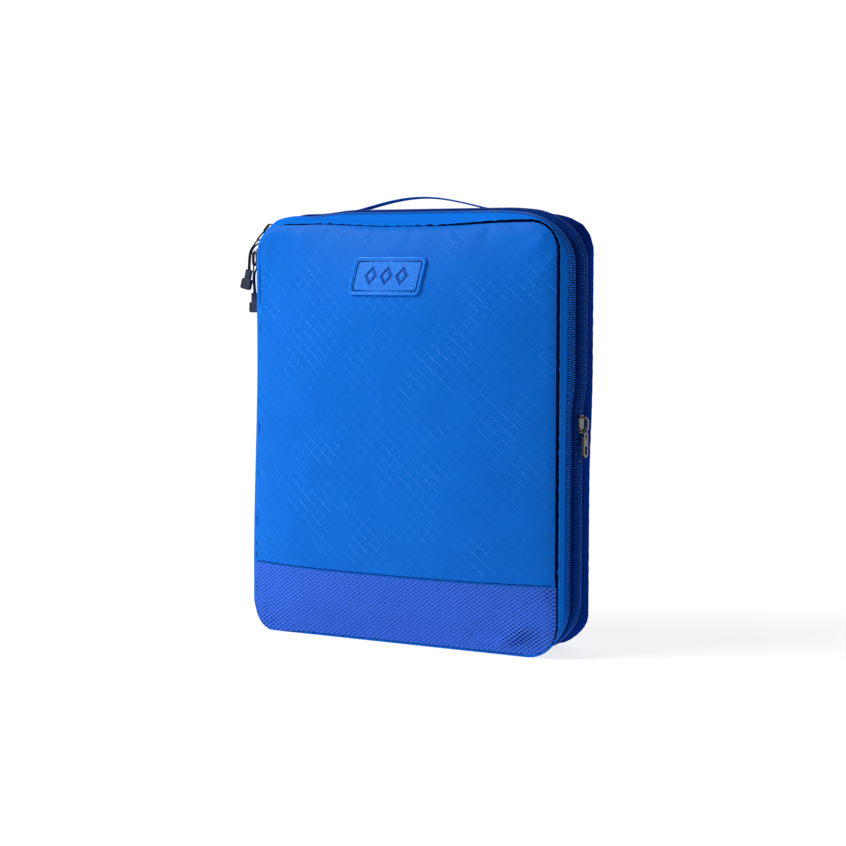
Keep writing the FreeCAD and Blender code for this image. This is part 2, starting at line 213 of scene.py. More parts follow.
def tube_rows(line, radius, sides):
    """Rings of points round a line, with frames that don't twist."""
    line = np.asarray(line, float)
    along = np.gradient(line, axis=0)
    along /= np.linalg.norm(along, axis=1)[:, None]
    side = np.cross(along[0], (0.0, 1.0, 0.0))
    if np.linalg.norm(side) < 1e-3:
        side = np.cross(along[0], (1.0, 0.0, 0.0))
    rows = []
    turn = np.arange(sides) * 2 * math.pi / sides
    for point, ahead in zip(line, along):
        side = side - ahead * (side @ ahead)
        side /= np.linalg.norm(side)
        other = np.cross(ahead, side)
        rows.append(point + radius * (np.cos(turn)[:, None] * side
                                      + np.sin(turn)[:, None] * other))
    return np.array(rows)


def skinned(rows, closed_across, closed_along=False, caps=True, along=None, across=None):
    """Faces and cloth coordinates over rows of points; along and across are in metres."""
    count, wide = rows.shape[:2]
    if along is None:
        middle = rows.mean(axis=1)
        along = np.r_[0, np.cumsum(np.linalg.norm(np.diff(middle, axis=0), axis=1))]
    if across is None:
        across = np.r_[0, np.cumsum(np.linalg.norm(np.diff(rows[0], axis=0), axis=1))]
    along = np.r_[along, 2 * along[-1] - along[-2]]
    across = np.r_[across, 2 * across[-1] - across[-2]]
    faces, uv = [], []
    for i in range(count if closed_along else count - 1):
        for j in range(wide if closed_across else wide - 1):
            corners = ((i, j), (i + 1, j), (i + 1, j + 1), (i, j + 1))
            faces.append([(a % count) * wide + b % wide for a, b in corners])
            uv += [(along[a], across[b]) for a, b in corners]
    if caps and closed_across and not closed_along:
        first = list(range(wide))
        last = [(count - 1) * wide + j for j in reversed(range(wide))]
        faces += [first, last]
        uv += [(0.0, across[j]) for j in first]
        uv += [(along[count - 1], across[j]) for j in reversed(range(wide))]
    return rows.reshape(-1, 3), faces, uv


cord_finish = Finish("navy_braid", (0.012, 0.020, 0.055), Roughness=0.7)
along_cord, round_cord = cord_finish.cloth()
BRAID_PITCH = 1.3 * MM
STRAND_R = 0.72 * MM
strand_turns = round_cord / (2 * math.pi * STRAND_R)
one_way = ((along_cord / BRAID_PITCH + strand_turns * 3) * (2 * math.pi)).sine()
other_way = ((along_cord / BRAID_PITCH - strand_turns * 3) * (2 * math.pi)).sine()
braid = one_way * other_way * 0.5 + 0.5
cord_finish.bump(braid, 0.25 * MM, 0.8)
cord_finish.feed("Base Color", cord_finish.mixed(braid, (0.006, 0.010, 0.030),
                                                 (0.022, 0.032, 0.080)))

ring_box = {"upper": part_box("main_ring_upper"), "lower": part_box("main_ring_lower")}
MAIN_ZIP_Y = (ring_box["lower"][0].y + ring_box["lower"][1].y) / 2
RING_WIRE_R = 0.85 * MM
# x, distance from the zip's plane and z, in millimetres; the last run is inside the end
CORD_ROUTES = {
    "upper": [(-151.9, 0, 350.7), (-155.3, -7.6, 345.0), (-156.8, -7.9, 331.5),
              (-157.0, -7.6, 321.5), (-159.8, -7.6, 311.5)],
    "lower": [(-155.4, 0, 328.6), (-156.9, -0.5, 320.0), (-156.6, 0.1, 311.0),
              (-156.0, 0.3, 302.0), (-156.3, 0, 292.0)],
}


def route_line(name, route):
    """Points of the smooth line that a cord follows."""
    curve = bpy.data.curves.new(name, "CURVE")
    curve.dimensions = "3D"
    curve.resolution_u = 12
    spline = curve.splines.new("NURBS")
    spline.points.add(len(route) - 1)
    for point, (x, dy, z) in zip(spline.points, route):
        point.co = (x * MM, MAIN_ZIP_Y + dy * MM, z * MM, 1.0)
    spline.use_endpoint_u = True
    spline.order_u = 3
    holder = bpy.data.objects.new(name, curve)
    flat = bpy.data.meshes.new_from_object(holder)
    line = np.array([v.co for v in flat.vertices], float)
    bpy.data.meshes.remove(flat)
    bpy.data.objects.remove(holder)
    bpy.data.curves.remove(curve)
    return line


def doubled_cord(line):
    """Centreline of the cord: down one side, and back up the other over the ring's bar."""
    ahead = np.gradient(line, axis=0)
    ahead /= np.linalg.norm(ahead, axis=1)[:, None]
    side = np.cross(ahead, (0.0, 1.0, 0.0))
    side /= np.linalg.norm(side, axis=1)[:, None]
    far = np.r_[0, np.cumsum(np.linalg.norm(np.diff(line, axis=0), axis=1))]
    loop_r = RING_WIRE_R + STRAND_R + 0.05 * MM
    near = np.clip(1 - far / (6 * MM), 0, 1)
    apart = STRAND_R + 0.04 * MM + (loop_r - STRAND_R) * near * near * (3 - 2 * near)
    one = line + side * apart[:, None]
    two = line - side * apart[:, None]
    bar = line[0] - ahead[0] * 1.25 * MM
    turn = np.linspace(0, math.pi, 15)[1:-1]
    over = [bar + side[0] * loop_r * math.cos(t) - ahead[0] * loop_r * math.sin(t)
            for t in turn]
    return np.vstack([one[::-1], over, two])


for end, route in CORD_ROUTES.items():
    line = route_line("route", route)
    strand = tube_rows(doubled_cord(line), STRAND_R, 10)
    girth = np.linspace(0, 2 * math.pi * STRAND_R, 10)
    cord = mesh_object("pull_cord_" + end + "_strands",
                       *skinned(strand, True, across=girth), cord_finish, settled=False)
    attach(cord, "pull_" + end)
    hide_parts("pull_cord_" + end)


# ---- moulded cord ends -----------------------------------------------------------------
# Soft navy rubber moulded over the cord: a narrow neck and a wider block to grip, with a
# faint pebbled skin from the mould.
end_finish = Finish("moulded_end", (0.014, 0.020, 0.050), Roughness=0.45, Shine=0.3)
pebble = end_finish.noise(2600.0, 1.0)
end_finish.bump(pebble, 0.08 * MM, 0.5)
blotch = end_finish.noise(120.0, 3.0)
end_finish.feed("Base Color", end_finish.mixed(blotch, (0.009, 0.013, 0.034),
                                               (0.022, 0.030, 0.070)))
end_finish.feed("Roughness", blotch * 0.25 + 0.38)


def coat(node, finish):
    """Give a CAD node that stays visible its material, and smooth its round faces."""
    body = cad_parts[node]
    body.data.materials.clear()
    body.data.materials.append(finish.material)
    body.data.polygons.foreach_set("use_smooth", np.ones(len(body.data.polygons), bool))
    body.data.set_sharp_from_angle(angle=math.radians(35))


coat("cord_end_upper", end_finish)
coat("cord_end_lower", end_finish)


# ---- back shell: gusset and binding ----------------------------------------------------
# One band of dark blue plain-woven nylon runs round all four sides. It is sewn to the tape
# of the compression zip in front and to the back panel behind, under a narrow binding.
ZIP_LOW, ZIP_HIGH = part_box("compression_zip_rear_tape")
HALF_WIDE = ZIP_HIGH.x + 0.07 * MM
TOP = ZIP_HIGH.z + 0.07 * MM
REAR_ZIP_Y = ZIP_LOW.y - 0.5 * MM
FLAT_BAND = 6.0 * MM
BOTTOM_RISE = 0.9
CORNER_R = 47.0 * MM
TOP_LEFT_EXTRA = 10.0 * MM
FRONT_DEPTH = -28.5 * MM
BACK_DEPTH = 36.0 * MM
AROUND_STEP = 3.0 * MM
# depth from the compression zip, outset of the skin and corner radius, in millimetres
SKIN = np.array([
    (-28.5, -9.0, 24), (-27.2, -6.0, 30), (-24.5, -4.7, 37), (-20.7, -4.0, 42), (-17, -3.0, 44),
    (-13.3, -3.4, 44), (-10.6, -5.2, 42), (-6.6, -5.0, 43), (-3.7, -1.0, 46), (0, 0, 47),
    (3.7, -0.5, 45), (9, -0.4, 38), (20, -0.6, 30), (30, -4.5, 27), (36, -9.5, 24),
])


def skin(depth):
    """Outset of the outer skin, in metres, at a depth in metres."""
    return np.interp(depth / MM, SKIN[:, 0], SKIN[:, 1]) * MM


def shape_at(depth):
    """Half width, foot, head and the four corner radii of the skin at a depth."""
    outset = skin(depth)
    r = np.interp(depth / MM, SKIN[:, 0], SKIN[:, 2]) * MM
    rounder = TOP_LEFT_EXTRA * min(1.0, max(0.0, (-20.0 - depth / MM) / 5.0))
    foot = max(0.0, (-outset - FLAT_BAND) * BOTTOM_RISE)
    return HALF_WIDE + outset, foot, TOP + outset, (r, r, r + rounder, r)


def outline(depth, step=AROUND_STEP):
    """Points, outward directions and distance round the cube, from the middle of its foot."""
    half, foot, head, radii = shape_at(depth)
    flat = HALF_WIDE - CORNER_R
    tall = TOP - 2 * CORNER_R
    bend = math.pi / 2 * CORNER_R
    n_flat, n_tall, n_bend = (max(2, round(x / step)) for x in (flat, tall, bend))
    points, normals, far = [], [], []
    start = 0.0

    def straight(x0, z0, x1, z1, nx, nz, n, length):
        nonlocal start
        for i in range(n):
            t = i / n
            points.append((x0 + (x1 - x0) * t, z0 + (z1 - z0) * t))
            normals.append((nx, nz))
            far.append(start + length * t)
        start += length

    def corner(x, z, r, turn):
        nonlocal start
        for i in range(n_bend):
            a = math.radians(turn) + math.pi / 2 * i / n_bend
            points.append((x + r * math.cos(a), z + r * math.sin(a)))
            normals.append((math.cos(a), math.sin(a)))
            far.append(start + bend * i / n_bend)
        start += bend

    br, tr, tl, bl = radii
    straight(0, foot, half - br, foot, 0, -1, n_flat, flat)
    corner(half - br, foot + br, br, -90)
    straight(half, foot + br, half, head - tr, 1, 0, n_tall, tall)
    corner(half - tr, head - tr, tr, 0)
    straight(half - tr, head, tl - half, head, 0, 1, 2 * n_flat, 2 * flat)
    corner(tl - half, head - tl, tl, 90)
    straight(-half, head - tl, -half, foot + bl, -1, 0, n_tall, tall)
    corner(bl - half, foot + bl, bl, 180)
    straight(bl - half, foot, 0, foot, 0, -1, n_flat, flat)
    return np.array(points), np.array(normals), np.array(far), start


ROUND = outline(0.0)[3]


def ease(value, low, high):
    """0 below low, 1 above high, smooth between."""
    t = np.clip((value - low) / (high - low), 0, 1)
    return t * t * (3 - 2 * t)


LEFT_SAG = 6.0 * MM
RIGHT_PROUD = 4.0 * MM
SEAT_SPREAD = 2.0 * MM
CORNER_BULGE = 3.2 * MM
ZIP_ARCH = 3.0 * MM
SHOULDER_RISE = 3.0 * MM
SEAM_SAG = 3.5 * MM
REAR_CORNER_DROP = 2.5 * MM
FOOT_LIFT = 6.0 * MM
LEAST_HEIGHT = 0.3 * MM


def settle(points):
    """How the loose filled cloth sits: a fuller lower left side, the back standing a little
    proud at the right, the zips arched up over the top and the front seam sunk between.
    Each share is 0 where the cloth stays as sewn, and 1 where it moves most."""
    p = np.array(points, float).reshape(-1, 3)
    x, y, z = p.T
    behind_seam = ease(y, -0.0235, -0.0180)
    before_slider = ease(-y, 0.0165, 0.0195)
    # the left side fills out downwards, but the zip keeps its line for the slider
    low = ease(-z, -0.26, -0.05) * 0.9 + ease(-z, -0.05, -0.01) * 0.1
    left = ease(-x, 0.02, 0.150) * low * (0.1 + 0.9 * ease(-y, 0.0165, 0.0200))
    # the right side stands proud behind the seam, most above the compression slider
    high = ease(z, 0.14, 0.24) * 0.55 + 0.45
    slider_dip = 1 - 0.8 * ease(-z, -0.235, -0.205) * ease(-y, -0.016, -0.009)
    right = ease(x, 0.05, 0.150) * ease(y, -0.024, -0.004) * high * slider_dip
    # along the top
    top = ease(z, 0.355, 0.370)
    arch = (top * ease(x, -0.098, -0.060) * ease(-x, -0.130, -0.085) * behind_seam
            * ease(-y, -0.014, -0.006))
    shoulder = (ease(x, -0.138, -0.126) * ease(-x, 0.080, 0.112) * ease(z, 0.340, 0.358)
                * behind_seam * ease(-y, 0.0165, 0.0190))
    sag = top * ease(-np.abs(x - 0.010), -0.100, -0.020) * (1 - behind_seam)
    # corners
    front_corner = (ease(-x, 0.108, 0.136) * ease(z, 0.328, 0.352) * before_slider
                    * (1 - 0.4 * ease(-y, 0.0215, 0.0240)))
    rear_corner = ease(x, 0.100, 0.140) * ease(y, 0.004, 0.014) * ease(z, 0.320, 0.355)
    foot_lift = ease(x, 0.110, 0.145) * ease(y, 0.000, 0.018) * ease(-z, -0.06, 0)
    seat = ease(-x, 0.085, 0.125) * ease(-z, -0.022, -0.004) * ease(-y, 0.006, 0.012)
    p[:, 0] += (RIGHT_PROUD * right - LEFT_SAG * left - SEAT_SPREAD * seat
                - CORNER_BULGE * front_corner)
    p[:, 2] += (ZIP_ARCH * arch + SHOULDER_RISE * shoulder - SEAM_SAG * sag
                - REAR_CORNER_DROP * rear_corner + FOOT_LIFT * foot_lift
                + CORNER_BULGE * front_corner)
    p[:, 2] -= np.minimum(SEAT_SPREAD * seat, np.maximum(p[:, 2] - LEAST_HEIGHT, 0))
    return p


def waves(far, counts, seed):
    """Smooth ripple round the cube, from whole numbers of waves, about -1 to 1."""
    rng = np.random.default_rng(seed)
    total = np.zeros_like(far)
    for count in counts:
        total += rng.uniform(0.5, 1.0) * np.sin(2 * math.pi * (count * far / ROUND
                                                               + rng.uniform()))
    return total / math.sqrt(len(counts))


SPAN_MARGIN = 0.2 * MM


def band(name, section, finish, span=None, ripple=None, step=AROUND_STEP, sharp=40.0):
    """Closed band round the cube. section is a closed loop of (depth, lift) in metres; span
    limits it to a stretch of the way round; ripple(far, depth) moves points outwards."""
    columns = []
    for depth, lift in section:
        points, normals, far, _ = outline(depth, step)
        push = np.full(len(far), lift)
        if ripple is not None:
            push = push + ripple(far, depth)
        x = points[:, 0] + normals[:, 0] * push
        z = np.maximum(points[:, 1] + normals[:, 1] * push, 0.0)
        columns.append(np.stack([x, np.full(len(x), REAR_ZIP_Y + depth), z], axis=1))
    rows = np.stack(columns, axis=1)
    if span:
        inside = (far > span[0] + SPAN_MARGIN) & (far < span[1] - SPAN_MARGIN)
        places = np.r_[span[0], far[inside], span[1]]
        flat = rows.reshape(len(far), -1)
        rows = np.stack([np.interp(places, far, column) for column in flat.T], axis=1)
        rows = rows.reshape(len(places), len(section), 3)
        far = places
    section = np.array(section)
    gaps = np.linalg.norm(np.diff(section, axis=0), axis=1)
    across = np.r_[0, np.cumsum(gaps)]
    along = far.copy()
    vertices, faces, uv = skinned(rows, True, not span, along=along, across=across)
    return mesh_object(name, vertices, faces, uv, finish, sharp)


def shell_section(depths, thick, lift=0.0):
    """Outer side from front to back, then the inner side back again."""
    outer = [(d * MM, lift) for d in depths]
    inner = [(d * MM, lift - thick) for d in reversed(depths)]
    return outer + inner


def weave_height(finish, thread):
    """Plain weave: threads pass over and under each other in both directions."""
    u, v = finish.cloth()
    a = (u * (math.pi / thread)).sine()
    b = (v * (math.pi / thread)).sine()
    return a * b * 0.5 + 0.5


gusset_finish = Finish("dark_nylon", (0.001, 0.020, 0.20), Roughness=0.6)
gusset_weave = weave_height(gusset_finish, 0.45 * MM)
gusset_finish.bump(gusset_weave, 0.10 * MM, 0.5)
gusset_cloud = gusset_finish.noise(45.0, 3.0)
gusset_finish.feed("Base Color", gusset_finish.mixed(
    (gusset_weave * 0.35 + gusset_cloud * 0.75).clamped(), (0.0008, 0.013, 0.14),
    (0.002, 0.030, 0.27)))

GUSSET_DEPTHS = [4.2, 6.5, 9.0, 12.0, 15.0, 18.0, 21.0, 24.0, 27.0, 30.0, 32.5, 34.3]
GUSSET_BAGGY = 0.9 * MM


def gusset_ripple(far, depth):
    loose = np.clip((depth / MM - 8) / 8, 0, 1) * np.clip((34.3 - depth / MM) / 6, 0, 1)
    folds = waves(far + 0.3 * depth, (9, 14, 23, 31), 5) * 0.55 + waves(far, (61, 74), 6) * 0.2
    return GUSSET_BAGGY * loose * folds - 0.3 * MM * (depth < 9 * MM)


back_gusset = band("back_gusset_cloth", shell_section(GUSSET_DEPTHS, 1.2 * MM, -0.55 * MM),
                   gusset_finish, ripple=gusset_ripple)
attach(back_gusset, "back_shell")
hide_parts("back_gusset")

binding_finish = Finish("binding_tape", (0.003, 0.085, 0.48), Roughness=0.6)
bind_u = binding_finish.cloth()[0]
rib = ((bind_u * (2 * math.pi / (0.9 * MM))).sine() * 0.5 + 0.5)
binding_finish.bump(rib, 0.15 * MM, 0.6)
binding_finish.feed("Base Color", binding_finish.mixed(rib, (0.002, 0.060, 0.38),
                                                       (0.005, 0.110, 0.58)))
BINDING_ROUND = [(30.8, -0.30), (31.2, 0.35), (32.4, 0.70), (34.4, 0.70), (35.6, 0.30),
                 (36.0, -0.45), (35.4, -1.2), (33.0, -1.3), (31.2, -0.9)]


def pucker(far, depth):
    return 0.14 * MM * waves(far, (101, 127, 143), 9)


back_binding = band("back_seam_piping", [(d * MM, l * MM) for d, l in BINDING_ROUND],
                    binding_finish, ripple=pucker, sharp=60)
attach(back_binding, "back_shell")
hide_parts("back_seam_binding")


# ---- back panel ------------------------------------------------------------------------
# Plain dark nylon, cut to the outline of the back seam and lightly filled, with low soft
# swells that fade out towards the seam.
PANEL_STEP = 3.0 * MM


def seam_inset(x, z, depth):
    """Distance of places on a panel from the seam round it."""
    half, foot, head, (br, tr, tl, bl) = shape_at(depth)
    middle, tall = (head + foot) / 2, (head - foot) / 2
    r = np.where(z > middle, np.where(x > 0, tr, tl), np.where(x > 0, br, bl))
    out_x = np.abs(x) - half + r
    out_z = np.abs(z - middle) - tall + r
    past = np.hypot(np.maximum(out_x, 0), np.maximum(out_z, 0))
    return np.maximum(0.0, r - past - np.minimum(np.maximum(out_x, out_z), 0))


def seam_sides(z, depth):
    """Left and right ends of a panel at one height."""
    half, foot, head, (br, tr, tl, bl) = shape_at(depth)
    ends = []
    for low, high in ((bl, tl), (br, tr)):
        into = max(0.0, foot + low - z, z - head + high)
        r = low if z < (foot + head) / 2 else high
        ends.append(half - r + math.sqrt(max(0.0, r * r - into * into)))
    return -ends[0], ends[1]


def crown(x, z, depth, rise):
    """The filled bulge of a panel: round across its width, level up its middle."""
    half, foot, head, _ = shape_at(depth)
    up = (z - (head + foot) / 2) / ((head - foot) / 2)
    return rise * (1 - (x / half) ** 2) * (1 - up ** 4)


def panel_points(lie, depth, low_z, high_z, step=PANEL_STEP):
    """Rows of points over a panel between two heights; lie gives y for x and z."""
    half, foot, head, _ = shape_at(depth)
    low_z, high_z = max(low_z, foot), min(high_z, head)
    wide_count = max(8, round(2 * half / step))
    turn = np.linspace(0, math.pi, max(6, round((high_z - low_z) / step)))
    share = turn / math.pi * 0.55 + (1 - np.cos(turn)) / 2 * 0.45
    rows = []
    for z in low_z + (high_z - low_z) * share:
        left, right = seam_sides(z, depth)
        u = np.linspace(-1, 1, wide_count)
        u = 0.7 * u + 0.3 * np.sin(u * math.pi / 2)
        x = (left + right) / 2 + (right - left) / 2 * u
        height = np.full_like(x, z)
        rows.append(np.stack([x, lie(x, height), height], axis=1))
    return np.array(rows)


def sheet_object(name, rows, thick, side, finish):
    """A panel with a front, a back and closed edges; cloth coordinates are x and z."""
    count, wide = rows.shape[:2]
    inner = rows.copy()
    inner[:, :, 1] -= side * thick
    vertices = np.vstack([rows.reshape(-1, 3), inner.reshape(-1, 3)])
    faces = []
    below = count * wide
    for i in range(count - 1):
        for j in range(wide - 1):
            a, b, c, d = i * wide + j, i * wide + j + 1, (i + 1) * wide + j + 1, (i + 1) * wide + j
            front = [a, b, c, d] if side < 0 else [d, c, b, a]
            faces.append(front)
            faces.append([below + k for k in reversed(front)])
    edge = [j for j in range(wide)] + [i * wide + wide - 1 for i in range(1, count)]
    edge += [(count - 1) * wide + j for j in range(wide - 2, -1, -1)]
    edge += [i * wide for i in range(count - 2, 0, -1)]
    for a, b in zip(edge, edge[1:] + edge[:1]):
        rim = [a, a + below, b + below, b]
        faces.append(rim if side < 0 else rim[::-1])
    uv = [(vertices[k][0], vertices[k][2]) for face in faces for k in face]
    return mesh_object(name, vertices, faces, uv, finish)


def hills(x, z, seed, size, count=7):
    """Low rounded swells with no grain, about -1 to 1."""
    rng = np.random.default_rng(seed)
    total = np.zeros_like(x)
    for _ in range(count):
        angle = rng.uniform(0, math.pi)
        length = size * rng.uniform(0.7, 1.6)
        total += np.sin(2 * math.pi * (x * math.cos(angle) + z * math.sin(angle)) / length
                        + rng.uniform(0, 2 * math.pi))
    return total / math.sqrt(count)


def on_back(x, z):
    edge = np.clip(seam_inset(x, z, BACK_DEPTH) / (12 * MM), 0, 1)
    loose = 0.55 * MM * hills(x, z, 21, 0.16) + 0.18 * MM * hills(x, z, 22, 0.05)
    return REAR_ZIP_Y + BACK_DEPTH + crown(x, z, BACK_DEPTH, 5.6 * MM) + edge * loose


back_rows = panel_points(on_back, BACK_DEPTH, 0, 1)
back_panel = sheet_object("back_panel_cloth", back_rows, 1.2 * MM, 1, gusset_finish)
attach(back_panel, "back_shell")
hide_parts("back_panel")


# ---- zip tapes -------------------------------------------------------------------------
# Woven twill tape, one half on each side of every zip. The coil is sewn to its inside, so
# that the outside shows the turns of the coil as a row of small ribs beside the slot.
tape_finish = Finish("zip_tape_twill", (0.004, 0.150, 0.68), Roughness=0.55)
tape_u, tape_v = tape_finish.cloth()
twill = (((tape_u + tape_v * 1.6) * (2 * math.pi / (1.1 * MM))).sine() * 0.5 + 0.5)
tape_finish.bump(twill, 0.14 * MM, 0.7)


COIL_REACH = 4.9 * MM


def under_coil(finish, colour, zip_y):
    """Deep shade on the part of a tape that the coil covers."""
    place = finish.node("ShaderNodeTexCoord", out=3)
    split = finish.node("ShaderNodeSeparateXYZ", {}, [place], out=1)
    covered = 1 - (split - zip_y).size().step(COIL_REACH - 0.7 * MM, COIL_REACH + 0.1 * MM)
    finish.feed("Base Color", finish.mixed(covered, colour, (0.0002, 0.003, 0.022)))


MAIN = -17.0
under_coil(tape_finish, tape_finish.mixed(twill, (0.003, 0.115, 0.58), (0.008, 0.205, 0.84)),
           REAR_ZIP_Y + MAIN * MM)
dark_tape_finish = Finish("zip_tape_shaded", (0.001, 0.030, 0.24), Roughness=0.55)
shade_u, shade_v = dark_tape_finish.cloth()
shade_twill = (((shade_u + shade_v * 1.6) * (2 * math.pi / (1.1 * MM))).sine() * 0.5 + 0.5)
dark_tape_finish.bump(shade_twill, 0.14 * MM, 0.7)
under_coil(dark_tape_finish, dark_tape_finish.mixed(
    shade_twill, (0.0006, 0.012, 0.10), (0.0015, 0.030, 0.22)), REAR_ZIP_Y)

SLOT = 0.42
TAPE = 0.7 * MM
TOOTH_PITCH = 2.0 * MM
HINGE_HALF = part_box("hinge_strip")[1].x
OPEN_SPAN = (HINGE_HALF, ROUND - HINGE_HALF)
TAPES = {
    "compression_zip_rear_tape": ([SLOT, 1.8, 3.9, 6.5, 9.0], "back_shell", dark_tape_finish),
    "compression_zip_front_tape": ([-6.6, -5.2, -3.9, -1.8, -SLOT], "mid_frame",
                                   dark_tape_finish),
    "main_zip_rear_tape": ([MAIN + SLOT, -15.2, -13.1, -11.8, -11.0], "mid_frame",
                           tape_finish),
    "main_zip_front_tape": ([-28.4, -28.1, -27.7, -27.2, -26.5, -25.5, -24.5, -22.5, -20.7, -18.8,
                             MAIN - SLOT], "front_lid",
                            tape_finish),
}
for node, (depths, body, finish) in TAPES.items():
    tape = band(node + "_woven", shell_section(depths, TAPE), finish,
                span=OPEN_SPAN if node.startswith("main") else None)
    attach(tape, body)
    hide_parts(node)


# ---- zip coils -------------------------------------------------------------------------
# Wide nylon coil: one turn every 2 mm. Each turn is a round bar that wraps the edge of
# its tape; the two halves point at each other across the slot.
coil_finish = Finish("coil_nylon", (0.003, 0.085, 0.50), Roughness=0.4, Shine=0.04)
coil_wear = coil_finish.noise(300.0, 2.0)
coil_finish.feed("Base Color", coil_finish.mixed(coil_wear, (0.003, 0.110, 0.56),
                                                 (0.008, 0.190, 0.82)))
coil_finish.feed("Roughness", coil_wear * 0.25 + 0.25)
dark_coil_finish = Finish("coil_nylon_shaded", (0.001, 0.035, 0.28), Roughness=0.4,
                          Shine=0.04)
shade_wear = dark_coil_finish.noise(300.0, 2.0)
dark_coil_finish.feed("Base Color", dark_coil_finish.mixed(
    shade_wear, (0.0012, 0.050, 0.34), (0.003, 0.095, 0.52)))
dark_coil_finish.feed("Roughness", shade_wear * 0.25 + 0.25)

TOOTH_R = 0.56 * MM
TOOTH_SIDES = 7
# distance from the slot and lift off the tape along one turn, in millimetres
COIL_TURN = [(4.9, -0.2), (4.3, 0.35), (1.1, 0.40), (0.50, -0.15), (0.42, -1.2), (0.75, -2.2),
             (1.8, -2.35), (3.1, -2.2)]


def way_round(depth, places):
    """Points, outward and forward directions on the skin at distances round the cube."""
    points, normals, far, _ = outline(depth)
    far = np.r_[far, ROUND]
    x = np.interp(places, far, np.r_[points[:, 0], points[0, 0]])
    z = np.interp(places, far, np.r_[points[:, 1], points[0, 1]])
    nx = np.interp(places, far, np.r_[normals[:, 0], normals[0, 0]])
    nz = np.interp(places, far, np.r_[normals[:, 1], normals[0, 1]])
    size = np.hypot(nx, nz)
    return x, z, nx / size, nz / size


def coil(name, centre, side, finish, span=None):
    """A row of coil turns: each goes over the tape, round its edge and back underneath."""
    count = round(ROUND / TOOTH_PITCH)
    places = (np.arange(count) + (0.25 if side > 0 else 0.75)) * ROUND / count
    if span:
        places = places[(places > span[0] + MM) & (places < span[1] - MM)]
    paths = []
    for away, lift in COIL_TURN:
        depth = (centre + side * away) * MM
        x, z, nx, nz = way_round(depth, places)
        z_low = np.maximum(z + nz * lift * MM, TOOTH_R * 0.2)
        paths.append(np.stack([x + nx * lift * MM, np.full_like(x, REAR_ZIP_Y + depth), z_low],
                              axis=1))
    paths = np.stack(paths, axis=1)
    vertices, faces, uv = [], [], []
    for path in paths:
        rows = tube_rows(path, TOOTH_R, TOOTH_SIDES)
        v, f, t = skinned(rows, True)
        base = len(vertices)
        vertices += list(v)
        faces += [[base + k for k in face] for face in f]
        uv += t
    return mesh_object(name, vertices, faces, uv, finish, 80)


COILS = {
    "compression_zip_rear_coil": (0.0, 1, "back_shell", dark_coil_finish, None),
    "compression_zip_front_coil": (0.0, -1, "mid_frame", dark_coil_finish, None),
    "main_zip_rear_coil": (MAIN, 1, "mid_frame", coil_finish, OPEN_SPAN),
    "main_zip_front_coil": (MAIN, -1, "front_lid", coil_finish, OPEN_SPAN),
}
for node, (centre, side, body, finish, span) in COILS.items():
    turns = coil(node + "_turns", centre, side, finish, span)
    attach(turns, body)
    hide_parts(node)


# ---- middle gusset, between the two zips -----------------------------------------------
# A narrow band of the dark nylon joins the two zips. It sits lower than the tapes, and its colour
# is painted much darker than the gusset's, as painted shade, so that it shows only as a dark
# groove.
groove_shade_finish = Finish("shaded_nylon", (0.0004, 0.006, 0.06), Roughness=0.7)
groove_weave = weave_height(groove_shade_finish, 0.45 * MM)
groove_shade_finish.bump(groove_weave, 0.10 * MM, 0.5)
groove_shade_finish.feed("Base Color", groove_shade_finish.mixed(groove_weave, (0.0001, 0.001, 0.010),
                                                     (0.0003, 0.003, 0.030)))
middle = band("middle_gusset_cloth",
              shell_section([-12.9, -11.6, -10.0, -8.6, -7.0, -5.6, -4.4], 1.2 * MM, -TAPE),
              groove_shade_finish, ripple=lambda far, depth: 0.1 * MM * waves(far, (83, 97), 12))
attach(middle, "mid_frame")
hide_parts("middle_gusset")

end_tab = band("compression_zip_end_tab_cloth",
               shell_section([-10.2, -9.2, -7.8, -6.8], 0.9 * MM, 0.3 * MM), gusset_finish,
               span=(HALF_WIDE - CORNER_R + math.pi / 2 * CORNER_R + (166 - 47) * MM,
                     HALF_WIDE - CORNER_R + math.pi / 2 * CORNER_R + (188 - 47) * MM))
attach(end_tab, "mid_frame")
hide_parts("compression_zip_end_tab")


# ---- expansion gusset ------------------------------------------------------------------
# A wider band of thin nylon, folded four times inside the closed compression zip. Unzipping
# lets it open out and makes the cube deeper.
FOLDS = [(1.9, -5.8), (2.2, -12.9), (1.1, -13.2), (0.75, -6.3), (-0.05, -6.1), (-0.35, -12.9),
         (-1.3, -13.2), (-1.6, -6.0), (-2.1, -5.6), (-2.4, -6.1), (-1.95, -13.7), (-0.1, -13.8),
         (0.0, -6.7), (0.45, -6.6), (0.6, -13.6), (2.3, -13.5), (2.5, -5.8)]
fold_section = [(d * MM, (l - np.interp(d, SKIN[:, 0], SKIN[:, 1])) * MM) for d, l in FOLDS]
pleat = band("expansion_gusset_folds", fold_section, gusset_finish)
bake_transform(pleat)
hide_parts("expansion_gusset")


# ---- hinge strip and bottom strip ------------------------------------------------------
# Along the bottom the main zip stops, and a strip of woven binding holds the lid to the
# middle gusset as a cloth hinge.

def foot_strip(name, depths, finish, lift=0.0, thick=TAPE):
    """Flat strip along the middle of the bottom."""
    xs = np.linspace(-HINGE_HALF, HINGE_HALF, 71)
    rows = []
    for x in xs:
        row = []
        for depth, drop in shell_section(depths, thick, lift):
            half, low, _, radii = shape_at(depth)
            spread = (half - radii[0]) / (HALF_WIDE - CORNER_R)
            row.append((x * spread, REAR_ZIP_Y + depth, max(0.0, low - drop)))
        rows.append(row)
    rows = np.array(rows)
    section = np.array(shell_section(depths, thick, lift))
    across = np.r_[0, np.cumsum(np.linalg.norm(np.diff(section, axis=0), axis=1))]
    return mesh_object(name, *skinned(rows, True, across=across), finish)


